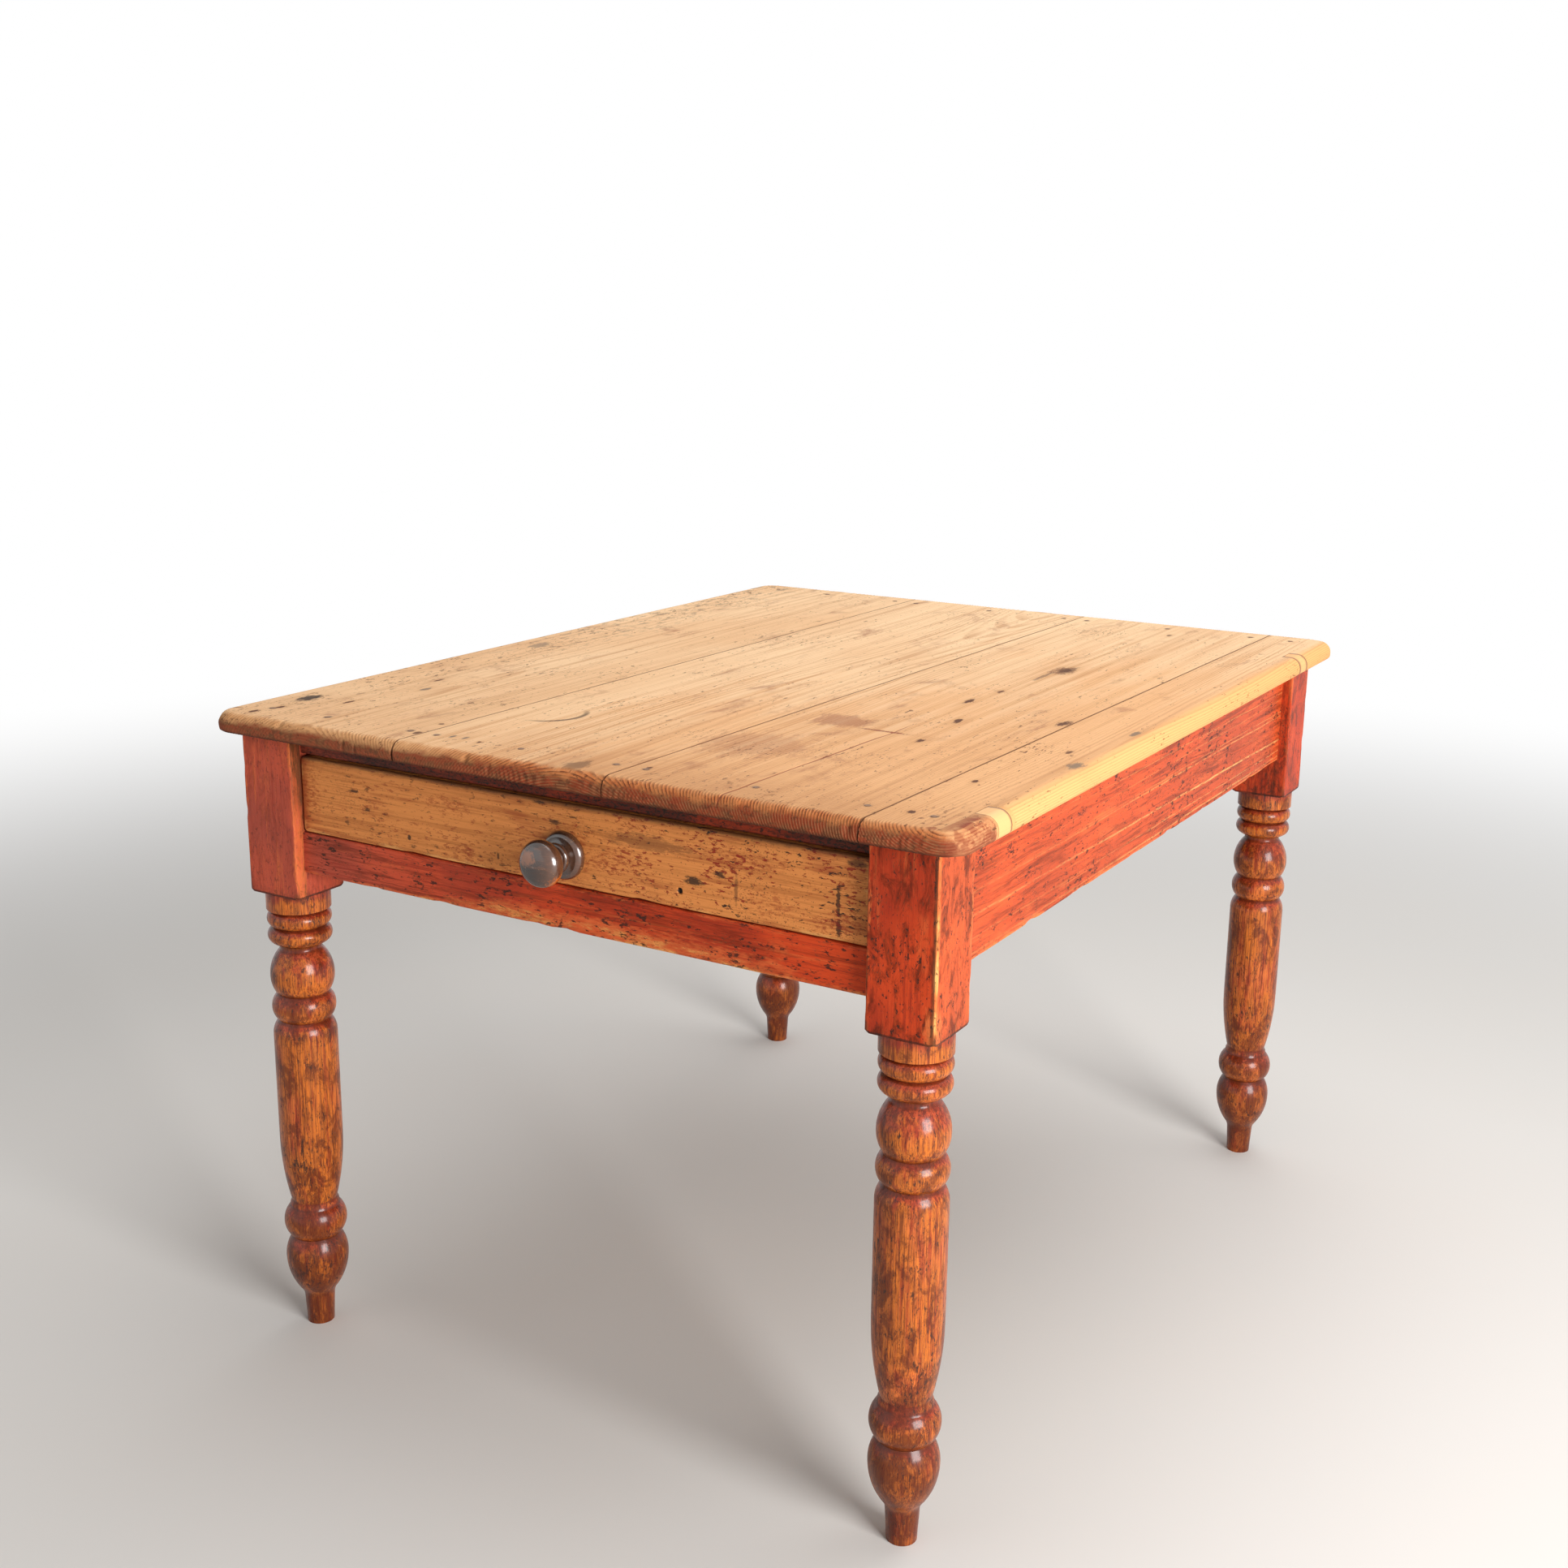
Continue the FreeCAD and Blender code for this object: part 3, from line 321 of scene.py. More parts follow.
class Finish:
    """A node material on the piece's own coordinates."""

    def __init__(self, name, ground, metallic=0.0, specular=0.5):
        self.colour = ground
        self.material = bpy.data.materials.new(name)
        self.material.use_nodes = True
        self.tree = self.material.node_tree
        self.shader = self.tree.nodes["Principled BSDF"]
        self.shader.inputs["Metallic"].default_value = metallic
        self.shader.inputs["Specular IOR Level"].default_value = specular
        self.place = self.add("ShaderNodeTexCoord").outputs["Object"]
        split = self.add("ShaderNodeSeparateXYZ", Vector=self.place)
        self.x, self.y, self.z = (Field(self, split.outputs[axis]) for axis in "XYZ")

    def feed(self, socket, value):
        if isinstance(value, Field):
            value = value.socket
        if isinstance(value, bpy.types.NodeSocket):
            self.tree.links.new(value, socket)
        else:
            socket.default_value = value

    def add(self, kind, settings=None, **inputs):
        node = self.tree.nodes.new(kind)
        for name, value in (settings or {}).items():
            setattr(node, name, value)
        for name, value in inputs.items():
            self.feed(node.inputs[name.replace("_", " ")], value)
        return node

    def math(self, operation, *values):
        node = self.add("ShaderNodeMath", {"operation": operation})
        for socket, value in zip(node.inputs, values):
            self.feed(socket, value)
        return Field(self, node.outputs[0])

    def step(self, value, low, high):
        node = self.add("ShaderNodeMapRange", {"interpolation_type": "SMOOTHSTEP"},
                        Value=value, From_Min=low, From_Max=high)
        return Field(self, node.outputs[0])

    def layer(self, name):
        return Field(self, self.add("ShaderNodeAttribute", {"attribute_name": name}).outputs["Fac"])

    def stretched(self, scale, shift=(0.0, 0.0, 0.0)):
        return self.add("ShaderNodeMapping", Vector=self.place, Scale=scale, Location=shift).outputs[0]

    def noise(self, scale, detail=4.0, rough=0.55, warp=0.0, shift=(0.0, 0.0, 0.0)):
        node = self.add("ShaderNodeTexNoise", Vector=self.stretched(scale, shift), Scale=1.0,
                        Detail=detail, Roughness=rough, Distortion=warp)
        return Field(self, node.outputs[0])

    def flecks(self, scale, share, shift=(0.0, 0.0, 0.0), flock=24.0):
        """Ragged flecks that come in flocks: a share from 0, hardly any, to 1, many."""
        grain = self.noise(scale, 4, 0.68, 0.0, shift)
        herd = self.noise((flock, flock, flock), 2, 0.5, 0.0, shift)
        level = 0.76 - share * 0.16
        return (grain + (herd - 0.5) * 0.32).between(level, level + 0.045)

    def away(self, place, reach):
        """Distance from a place, with its own unit along each axis (zero to leave an axis out)."""
        scale = [1.0 / r if r else 0.0 for r in reach]
        node = self.add("ShaderNodeVectorMath", {"operation": "LENGTH"})
        self.feed(node.inputs[0], self.stretched(scale, [-p * s for p, s in zip(place, scale)]))
        return Field(self, node.outputs["Value"])

    def spot(self, place, reach, ragged):
        """A spot with a ragged rim round a place."""
        return (self.away(place, reach) + ragged).below(0.55, 1.1)

    def mix(self, share, first, second):
        node = self.add("ShaderNodeMix", {"data_type": "RGBA"})
        for index, value in ((0, share), (6, first), (7, second)):
            self.feed(node.inputs[index], linear(value) if isinstance(value, str) else value)
        return node.outputs[2]

    def polish(self, weight, roughness):
        """A clear coat over the finish."""
        self.shader.inputs["Coat Weight"].default_value = weight
        self.shader.inputs["Coat Roughness"].default_value = roughness

    def coat(self, share, shade):
        """Lay a colour over what is there already."""
        self.colour = self.mix(share, self.colour, shade)

    def done(self, roughness, height, depth, strength=0.6):
        bump = self.add("ShaderNodeBump", Height=height, Distance=depth, Strength=strength)
        self.feed(self.shader.inputs["Base Color"], self.colour)
        self.feed(self.shader.inputs["Roughness"], roughness)
        self.feed(self.shader.inputs["Normal"], bump.outputs[0])
        return self.material


def along(axis, fine, long):
    """Scale of a pattern that runs with the grain along one axis."""
    return tuple(long if index == axis else fine for index in range(3))


def top_finish():
    """Honey pine, worn and stained, with combed end grain and a fresh right edge."""
    wood = Finish("worn_pine_top", "pine_honey", specular=0.14)
    x, y, z = wood.x, wood.y, wood.z
    end = wood.layer("end")
    late = wood.layer("ring").ring_line()
    tone = wood.layer("tone")
    fibre = wood.noise((640, 7, 640), 5, 0.65)
    streak = wood.noise((95, 1.5, 95), 5, 0.65, 0.3)
    cloud = wood.noise((6.5, 2.6, 6.5), 4, 0.55)
    grit = wood.noise((310, 160, 310), 3, 0.6)
    ragged = (wood.noise((160, 46, 160), 5, 0.72) - 0.5) * 2.4
    wood.coat((cloud + tone * 0.5 + y * 0.20).between(0.42, 0.98), "pine_pale")
    warm = (x * 0.9 - y * 0.5 + (cloud - 0.5) * 1.1 + (streak - 0.5) * 0.7).between(-0.05, 0.42)
    wood.coat(warm * 0.75, "pine_amber")
    wood.coat(streak.between(0.50, 0.76) * 0.45, "pine_line")
    wood.coat(late * streak.between(0.34, 0.62) * (0.22 + tone * 0.35), "pine_line")
    wood.coat(fibre.between(0.50, 0.74) * 0.30, "pine_line")
    # Dirt, and the browner front end
    dirt_and_shade = wood.noise((23, 9, 23), 5, 0.7, 0.5, (5.0, 2.0, 0.0))
    wood.coat(dirt_and_shade.between(0.54, 0.76) * 0.55, "plum")
    near_end = y.below(-0.575, -0.43)
    brown = cloud.between(0.35, 0.75) * 0.3 + x.between(-0.2, 0.1) * 0.35
    wood.coat(near_end * brown, "pine_line")
    # Fresh wood along the right edge, behind the front patch
    past = y.between(-0.512, -0.504)
    fresh = (x + (cloud - 0.5) * 0.014).between(0.444, 0.460) * past
    bare = wood.mix((late * 0.4) + fibre.between(0.55, 0.8) * 0.2, "pine_fresh", "pine_line")
    wood.coat(fresh * (1.0 - end), bare)
    # Combed end grain, browner to the right
    right = (x + (cloud - 0.5) * 0.1).between(-0.20, -0.02) * y.below(-0.3, 0.2)
    comb = late * (0.25 + streak.between(0.36, 0.54) * 0.75) * (0.4 + right * 0.6)
    ridge = wood.mix(right * 0.85, "end_ridge", "end_brown")
    ridge = wood.mix(comb, ridge, "end_groove")
    blush = wood.noise((46, 46, 90), 5, 0.65)
    ridge = wood.mix(blush.between(0.46, 0.62) * 0.35, ridge, "pine_line")
    low = z - right * 0.002 + (blush - 0.5) * 0.016 + (cloud - 0.5) * 0.008
    low = low.below(TOP_FOOT + 10.5 * MM, TOP_FOOT + 18 * MM)
    old = wood.mix(blush.between(0.44, 0.60) * 0.7, "end_red", "stain")
    old = wood.mix(comb * 0.3, old, "end_ridge")
    old = wood.mix(wood.noise((120, 120, 160), 4, 0.7).between(0.52, 0.66) * 0.6, old, "soot_and_shade")
    ridge = wood.mix(low * 0.88, ridge, old)
    # Painted shade: near black along the foot of the end faces, under their lower round.
    ridge = wood.mix(z.below(TOP_FOOT + 0.5 * MM, TOP_FOOT + 5 * MM) * 0.75, ridge, "soot_and_shade")
    corner = (x + (blush - 0.5) * 0.02).between(0.438, 0.456) * (1.0 - past)
    rim = end.math("MAXIMUM", corner * 0.65) + (grit - 0.5) * 0.5 + (streak - 0.5) * 0.5
    wood.coat(rim.between(0.30, 0.95), ridge)
    rings = late * (x + (cloud - 0.5) * 0.03).between(0.408, 0.442) * (1.0 - past) * y.between(-0.58, -0.555)
    wood.coat(rings * 0.35 + corner * blush.between(0.47, 0.54) * 0.5, "end_red")
    # Flecks, thickest along the left edge and the front
    left = (x + (cloud - 0.5) * 0.05).below(-0.440, -0.32)
    bits = wood.flecks((330, 95, 330), 0.72, (3.0, 0.0, 0.0), 9.0)
    wood.coat(bits * 0.65, "stain")
    nicks = wood.flecks((190, 60, 190), 0.58, (0.0, 5.0, 0.0), 12.0)
    wood.coat(nicks * 0.8, "stain")
    battered = wood.flecks((170, 75, 170), 1.0, (7.7, 4.2, 0.0), 16.0)
    side = (x + (blush - 0.5) * 0.008).below(-0.4630, -0.4500)
    wood.coat(side * (1.0 - end) * 0.7, "end_ridge")
    wood.coat(battered * left * (0.8 - side * 0.3), "stain")
    worn_end = wood.flecks((170, 80, 170), 0.80, (1.7, 8.2, 0.0), 16.0) * near_end
    wood.coat(worn_end * 0.75, "stain")
    scuff = wood.noise((95, 34, 95), 4, 0.7).between(0.52, 0.66) * left * y.between(-0.3, 0.15)
    wood.coat(scuff * 0.7, "grey")
    # Stains, each with a faint rim, then nail rust, the crack, seams and a curved scratch
    off_end = 1.0 - end * 0.7
    for place_x, place_y, half_x, half_y, strength, shade in STAINS:
        place = (place_x * MM, place_y * MM, 0.0)
        reach = wood.away(place, (half_x * MM, half_y * MM, 0.0)) + ragged
        wood.coat(reach.below(0.6, 3.2) * (strength * 0.3) * off_end, "pine_line")
        wood.coat(reach.below(0.55, 1.1) * (strength * 1.5) * off_end, shade)
    nail = wood.layer("nail")
    rust = 0.15 + dirt_and_shade.between(0.42, 0.58) * 0.5
    wood.coat((nail + ragged * 0.4).between(0.10, 0.70) * rust, "grey")
    wood.coat((nail + ragged * 0.25).between(0.30, 0.80) * rust, "stain")
    shake = wood.layer("shake")
    wood.coat(shake.between(0.15, 0.6) * 0.8, "plum")
    seam = wood.layer("seam") + (cloud - 0.5) * 0.3
    wood.coat(seam.between(0.35, 0.9) * 0.75, "stain")
    curve = wood.away(CURVE_CENTRE, (CURVE_RADIUS, CURVE_RADIUS, 0.0)) + ragged * 0.02 + (streak - 0.5) * 0.06
    lower_right = (x - y * 0.3).between(-0.020, 0.009)
    line = (curve - 1.0).math("ABSOLUTE").below(0.02, 0.11) * lower_right
    wood.coat(line * 0.75, "soot_and_shade")
    wood.coat(z.below(TOP_FOOT - 0.2 * MM, TOP_FOOT + 0.4 * MM), "raw_line")
    rough = 0.58 + fibre * 0.18 + end * 0.08
    height = fibre * 0.5 + late * 0.25 - bits * 0.8 - nicks * 1.2 + grit * 0.3
    return wood.done(rough, height, 0.0007)


def patch_finish():
    """Cream pine of the small pieces let into the right edge."""
    wood = Finish("let_in_pine", "cream", specular=0.42)
    fibre = wood.noise((420, 9, 420), 5, 0.6)
    streak = wood.noise((60, 3, 60), 3, 0.5)
    wood.coat(streak.between(0.35, 0.7) * 0.7, "pine_fresh")
    wood.coat(wood.y.between(0.0, 0.2) * 0.75, "pine_fresh")
    wood.coat(fibre.between(0.5, 0.75) * 0.3, "pine_line")
    wood.coat(wood.flecks((260, 90, 260), 0.6) * 0.6, "stain")
    wood.coat(wood.layer("rim").between(0.40, 0.85) * 0.85, "stain")
    return wood.done(0.45 + fibre * 0.2, fibre, 0.0005)


def paint_finish(name, axis, lines=(), marks=(), dirt_and_shade=0.0):
    """Red paint over pine, streaked along one axis, worn to bare wood by the wear layer."""
    paint = Finish(name, "paint", specular=0.12)
    upright, across = axis == 2, axis == 0
    wear = paint.layer("wear")
    streak = paint.noise(along(axis, 210, 8), 5, 0.68)
    fine = paint.noise(along(axis, 760, 30), 4, 0.6)
    patch = paint.noise(along(axis, 40, 11), 4, 0.6, 0.4)
    cloud = paint.noise((9, 9, 9), 3, 0.5)
    spread = (62, 27) if upright else (150, 9)
    smoke = paint.noise(along(axis, *spread), 6, 0.74, 0.6, (3.1, 1.2, 0.4))
    ragged = paint.noise(along(axis, 330, 85), 4, 0.65)
    busy = paint.x.between(-0.35, 0.25) * 0.6 + 0.4 if upright else 1.0
    deep = 0.7 if upright else 0.55
    paint.coat(cloud.between(0.36, 0.66) * deep, "paint_deep")
    if axis != 1:
        paint.coat(paint.x.below(-0.42, 0.05) * 0.45, "paint_dull")
    paint.coat(patch.between(0.54, 0.74) * 0.35, "thin_paint_and_painted_light")
    paint.coat(streak.between(0.54, 0.76) * 0.55, "thin_paint_and_painted_light")
    paint.coat(streak.below(0.30, 0.46) * 0.6, "paint_deep")
    paint.coat(fine.between(0.52, 0.72) * 0.45, "paint_deep")
    # Painted light: the right faces of the right legs' heads are made lighter, most at the front, and the
    # right side apron lighter than the left.
    if upright:
        paint.coat(paint.x.between(0.428, 0.4357) * (0.32 - paint.y.between(-0.3, 0.3) * 0.32), "thin_paint_and_painted_light")
    elif axis == 1:
        paint.coat(paint.x.between(0.0, 0.4) * 0.22, "thin_paint_and_painted_light")
    paint.coat(smoke.between(0.46, 0.64) * (0.78 if upright else 0.6) * busy, "bark")
    # Scratches, and paint rubbed through to the wood
    scratch = paint.noise(along(axis, 420, 3.2), 2, 0.5).between(0.72, 0.77)
    paint.coat(scratch * 0.4, "bare")
    far = paint.y.between(-0.25, 0.15)
    for level, slope, width, strength in lines:
        off = (paint.z - paint.y * slope + (patch - 0.5) * 0.004 - level).math("ABSOLUTE")
        line = off.below(width * 0.3, width) * (streak + ragged).between(0.78, 1.12)
        paint.coat(line * (0.35 + far * 0.65) * strength, "bare")
    rub = wear + (ragged - 0.5) * 1.0 + (patch - 0.5) * (1.3 if across else 0.7)
    paint.coat(rub.between(0.22, 0.62) * (0.45 if across else 0.8), "thin_paint_and_painted_light")
    wood = paint.mix(fine.between(0.42, 0.68) * 0.7, "bare", "rubbed")
    wood = paint.mix(wear.below(0.45, 0.85), wood, "front_wood" if across else "rubbed")
    worn = rub.between(0.58, 0.86)
    paint.coat(worn * 0.9, wood)
    # Flecks, pits, darkening, and painted shade
    flecks = paint.flecks(along(axis, *((270, 150) if upright else (230, 90))), 0.98, flock=15.0)
    paint.coat(flecks * 0.85 * busy, "soot_and_shade")
    pits = paint.flecks(along(axis, 520, 190), 1.0, (2.2, 5.1, 3.3), 40.0)
    paint.coat(pits * 0.65 * busy, "stain")
    chips = paint.flecks(along(axis, 480, 120), 0.9, (6.2, 1.1, 8.3), 60.0) * wear.between(0.55, 0.95)
    paint.coat(chips * 0.9, "soot_and_shade")
    # Darkening from the heads' layer: their dark foot, and painted shade on some head faces; the rails carry
    # none.
    grime_and_shade = (paint.layer("grime_and_shade") + (ragged - 0.5) * 0.9).between(0.35, 0.9)
    paint.coat(grime_and_shade * 0.8, "soot_and_shade")
    crust = paint.noise(along(axis, 420, 200), 5, 0.74, 0.0, (5.0, 3.0, 1.0)).between(0.50, 0.57)
    for place, reach in marks:
        spot = paint.spot([p * MM for p in place], [r * MM for r in reach], (ragged - 0.5) * 2.0)
        paint.coat(spot * crust * 0.9, "soot_and_shade")
    # Painted shade: a near black coat for a rail that lies in shade under the top.
    if dirt_and_shade:
        paint.coat(cloud.between(0.3, 0.6) * 0.3 + crust * 0.3 + dirt_and_shade, "soot_and_shade")
    rough = 0.34 + streak * 0.16 + worn * 0.16
    height = streak * 0.5 + fine * 0.3 - worn * 0.8 - flecks * 0.9 - pits * 0.4
    return paint.done(rough, height, 0.0006)


def turned_finish():
    """Rubbed, polished wood of the turned legs, with red left on upper curves and in grooves."""
    wood = Finish("rubbed_turning", "rubbed", specular=0.1)
    wood.polish(0.4, 0.17)
    groove = wood.layer("groove")
    lean = wood.layer("lean")
    striae = wood.noise(along(2, 900, 20), 3, 0.55)
    grain = wood.noise(along(2, 620, 22), 5, 0.72)
    streak = wood.noise(along(2, 190, 14), 5, 0.68)
    patch = wood.noise(along(2, 60, 16), 4, 0.62, 0.3)
    smoke = wood.noise(along(2, 52, 26), 6, 0.76, 0.5, (1.3, 4.2, 0.7))
    blot = wood.noise((24, 24, 13), 3, 0.55)
    wood.coat(striae.between(0.42, 0.66) * 0.75, "front_deep")
    wood.coat(blot.between(0.48, 0.70) * 0.35, "thin_paint_and_painted_light")
    red = wood.mix(streak.between(0.40, 0.64), "leg_red", "paint_deep")
    keep = lean * 0.9 + groove * 0.5 + (patch - 0.5) * 1.4 + (blot - 0.5) * 0.9 + (streak - 0.5) * 1.0
    wood.coat(keep.between(0.05, 0.66) * 0.85, red)
    wood.coat(streak.between(0.50, 0.63) * 0.55, "paint_deep")
    wood.coat(grain.between(0.47, 0.61) * 0.75, "bark")
    foot = wood.z.below(0.08, 0.30)
    wood.coat((smoke + foot * 0.06).between(0.47, 0.60) * 0.72, "bark")
    flecks = wood.flecks(along(2, 300, 105), 0.98, flock=20.0)
    wood.coat(flecks * 0.8, "soot_and_shade")
    pits = wood.flecks(along(2, 600, 200), 0.98, (4.2, 1.0, 2.0), 46.0)
    wood.coat(pits * 0.7, "soot_and_shade")
    wood.coat(groove.between(0.50, 1.0) * 0.65, "bark")
    wood.coat((wood.z + (patch - 0.5) * 0.09).below(0.02, 0.19) * 0.5, "bark")
    height = striae * 0.3 + grain * 0.4 - flecks * 0.8 - pits * 0.5
    return wood.done(0.26 + streak * 0.2 + flecks * 0.1, height, 0.0004, 0.5)


def front_finish():
    """Stripped drawer front: tan wood with red and black flecks along the grain."""
    wood = Finish("stripped_drawer_front", "front_wood", specular=0.16)
    x, z = wood.x, wood.z
    wear = wood.layer("wear")
    streak = wood.noise(along(0, 170, 5), 5, 0.68, 0.3)
    fine = wood.noise(along(0, 700, 16), 5, 0.6)
    cloud = wood.noise((11, 11, 26), 4, 0.55)
    right = x.between(-0.10, 0.20)
    wood.coat(streak.between(0.42, 0.74) * 0.7, "front_deep")
    wood.coat(fine.between(0.50, 0.74) * 0.5, "front_deep")
    ragged = (wood.noise((90, 90, 330), 6, 0.78) - 0.5) * 3.2
    red = (cloud + right * 0.05 + (streak - 0.5) * 0.5).between(0.58, 0.76)
    wood.coat(red * 0.4, "paint_deep")
    # Flecks and marks along the grain
    dashes = wood.flecks(along(0, 330, 120), 1.05, (1.0, 0.0, 6.0), 15.0)
    wood.coat(dashes * (0.5 + right * 0.4), "paint_deep")
    flecks = wood.flecks(along(0, 260, 95), 0.90, (4.4, 0.0, 2.1), 13.0)
    wood.coat(flecks * (0.6 + right * 0.35), "soot_and_shade")
    crumbs = wood.flecks((420, 420, 420), 0.80, (8.0, 0.0, 3.0), 12.0) * (0.35 + right * 0.65)
    wood.coat(crumbs * 0.8, "stain")
    crust = wood.noise(along(0, 360, 130), 6, 0.76, 0.0, (2.0, 0.0, 9.0)).between(0.47, 0.58)
    for place_x, place_z, half_x, half_z, strength, shade in FRONT_MARKS:
        spot = wood.spot((place_x * MM, 0.0, place_z * MM), (half_x * MM, 0.0, half_z * MM), ragged)
        if shade == "paint_deep":
            spot = spot * crust
        wood.coat(spot * strength, shade)
    wood.coat((x + ragged * 0.006).below(-0.358, -0.345) * 0.6, "paint_deep")
    # Painted shade along the top of the drawer front's face, under the top's overhang; rubbed arrises, raw
    # inner side
    outer = wood.y.below(-0.5480, -0.5440)
    wood.coat((z + ragged * 0.002).between(0.7085, 0.7145) * outer * 0.75, "soot_and_shade")
    worn = (wear + ragged * 0.4).between(0.62, 0.95) * z.below(0.700, 0.710)
    wood.coat(worn * 0.45, "bare")
    raw = wood.mix(streak.between(0.42, 0.70) * 0.7 + fine.between(0.50, 0.74) * 0.3, "raw", "raw_line")
    wood.coat((wood.y + ragged * 0.001).between(-0.5400, -0.5350), raw)
    wood.coat(x.math("ABSOLUTE").between(0.3586, 0.3596) * 0.6, "front_deep")
    wood.coat(wood.layer("hole").between(0.3, 0.8), "soot_and_shade")
    height = streak * 0.5 + fine * 0.3 - flecks * 0.9 - dashes * 0.5
    return wood.done(0.42 + streak * 0.18, height, 0.0006)


def raw_finish(name, axis, dusk):
    """Raw pine of pieces inside the frame and of the drawer box, darkened with age."""
    wood = Finish(name, "raw", specular=0.35)
    streak = wood.noise(along(axis, 90, 2.4), 5, 0.6, 0.4)
    fine = wood.noise(along(axis, 560, 14), 5, 0.6)
    cloud = wood.noise((9, 9, 9), 3, 0.5)
    wood.coat(streak.between(0.42, 0.70) * 0.7, "raw_line")
    wood.coat(fine.between(0.50, 0.74) * 0.4, "raw_line")
    wood.coat(cloud.between(0.42, 0.72) * dusk, "stain")
    wood.coat(wood.flecks(along(axis, 240, 60), 0.5, flock=12.0) * 0.6, "stain")
    return wood.done(0.58 + fine * 0.15, streak + fine * 0.6, 0.0005)


def knob_finish():
    """Dark varnish, rubbed through on the knob's face and rims."""
    wood = Finish("dark_knob", "knob", specular=0.6)
    wood.polish(0.8, 0.1)
    low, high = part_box("drawer_knob")
    centre = (low + high) / 2
    streak = wood.noise((60, 22, 240), 4, 0.6)
    ragged = (wood.noise((230, 230, 230), 4, 0.68) - 0.5) * 1.8
    wood.coat(streak.between(0.5, 0.75) * 0.25, "knob_worn")
    worn = wood.spot((centre.x - 8 * MM, low.y, centre.z + 8 * MM), (0.011, 0.012, 0.010), ragged)
    wood.coat(worn * 0.8, "knob_worn")
    warm = (wood.x - centre.x + ragged * 0.006).between(-0.004, 0.022)
    wood.coat(warm * 0.22, "knob_worn")
    rim = wood.spot((centre.x + 15 * MM, low.y + 18 * MM, centre.z - 15 * MM), (0.013, 0.013, 0.011), ragged)
    wood.coat(rim * 0.65, "rubbed")
    bright = wood.flecks((620, 620, 620), 0.5, (2.0, 2.0, 2.0), 90.0)
    wood.coat(bright * 0.5, "bare")
    return wood.done(0.16 + streak * 0.16 + worn * 0.2, streak + ragged * 0.2, 0.0004, 0.5)


def iron_finish():
    """Old nail iron."""
    iron = Finish("nail_iron_old", "iron", metallic=0.25)
    mottle = iron.noise((700, 700, 700), 4, 0.6)
    iron.coat(mottle.between(0.42, 0.65), "rust")
    return iron.done(0.55 + mottle * 0.2, mottle, 0.0003)


def background_rays(tree):
    """1 for a ray that shows the background: straight to the camera, reflected or through glass."""
    rays = tree.nodes.new("ShaderNodeLightPath").outputs
    seen = rays["Is Camera Ray"]
    for ray in ("Is Glossy Ray", "Is Transmission Ray"):
        either = tree.nodes.new("ShaderNodeMath")
        either.operation = "MAXIMUM"
        tree.links.new(seen, either.inputs[0])
        tree.links.new(rays[ray], either.inputs[1])
        seen = either.outputs[0]
    return seen


def floor_finish():
    """Pale floor that runs out into the white of the background."""
    floor = Finish("pale_floor", "floor", specular=0.15)
    distance = floor.math("SQRT", floor.x * floor.x + floor.y * floor.y)
    far = distance.between(*FLOOR_WHITENS)
    mottle = floor.noise((3, 3, 3), 3, 0.5)
    floor.coat(mottle * 0.05, "pine_pale")
    floor.done(0.85 + mottle * 0.05, mottle, 0.0004, 0.1)
    white = floor.add("ShaderNodeEmission", Strength=1.0)
    blend = floor.add("ShaderNodeMixShader", Fac=far * background_rays(floor.tree))
    floor.tree.links.new(floor.shader.outputs[0], blend.inputs[1])
    floor.tree.links.new(white.outputs[0], blend.inputs[2])
    floor.tree.links.new(blend.outputs[0], floor.tree.nodes["Material Output"].inputs["Surface"])
    return floor.material


def block(low, high):
    """A box between two corners."""
    bm = bmesh.new()
    bmesh.ops.create_cube(bm, size=1.0)
    for vert in bm.verts:
        vert.co = [high[axis] if vert.co[axis] > 0 else low[axis] for axis in range(3)]
    return bm


def round_edges(bm, edges, radius, segments):
    bmesh.ops.bevel(bm, geom=list(edges), offset=radius, offset_type="OFFSET", affect="EDGES",
                    segments=segments, profile=0.5, material=-1, clamp_overlap=True)


def long_edges(bm, axis):
    """Edges that run along one axis."""
    return [e for e in bm.edges if abs(e.verts[0].co[axis] - e.verts[1].co[axis]) > 10 * MM]


def edges_at(bm, axis, level):
    """Edges that lie at one level of an axis."""
    return [e for e in bm.edges if all(abs(v.co[axis] - level) < TINY for v in e.verts)]


def move_points(bm, moves):
    """Move all points of a mesh, once every move has been worked out."""
    for vert, move in zip(bm.verts, moves):
        vert.co += move


def slices(bm, axis, places, faces=None):
    """Cut a mesh by planes across one axis, so that its points can carry wear."""
    normal = [float(index == axis) for index in range(3)]
    for place in places:
        chosen = [f for f in bm.faces if faces is None or faces(f)]
        edges = {e for f in chosen for e in f.edges}
        verts = {v for e in edges for v in e.verts}
        bmesh.ops.bisect_plane(bm, geom=[*verts, *edges, *chosen], dist=TINY,
                               plane_co=[place * n for n in normal], plane_no=normal)


def steps(low, high, gap):
    """Evenly spaced places between two ends, without the ends."""
    count = max(1, round((high - low) / gap))
    return [low + (high - low) * index / count for index in range(1, count)]


def ease(value, low, high):
    """0 below low, 1 above high, and a soft step between."""
    share = min(1.0, max(0.0, (value - low) / (high - low)))
    return share * share * (3.0 - 2.0 * share)


def fade(value, low, high):
    """1 below low, 0 above high, and a soft step between."""
    return 1.0 - ease(value, low, high)


def wander(place, scale, seed=0.0):
    """Smooth noise about zero, with its own scale along each axis."""
    return noise.noise(Vector((place[0] * scale[0] + seed, place[1] * scale[1] - seed, place[2] * scale[2])))


def place_object(name, data):
    """Put a mesh, lamp or camera into the scene."""
    made = bpy.data.objects.new(name, data)
    bpy.context.scene.collection.objects.link(made)
    return made


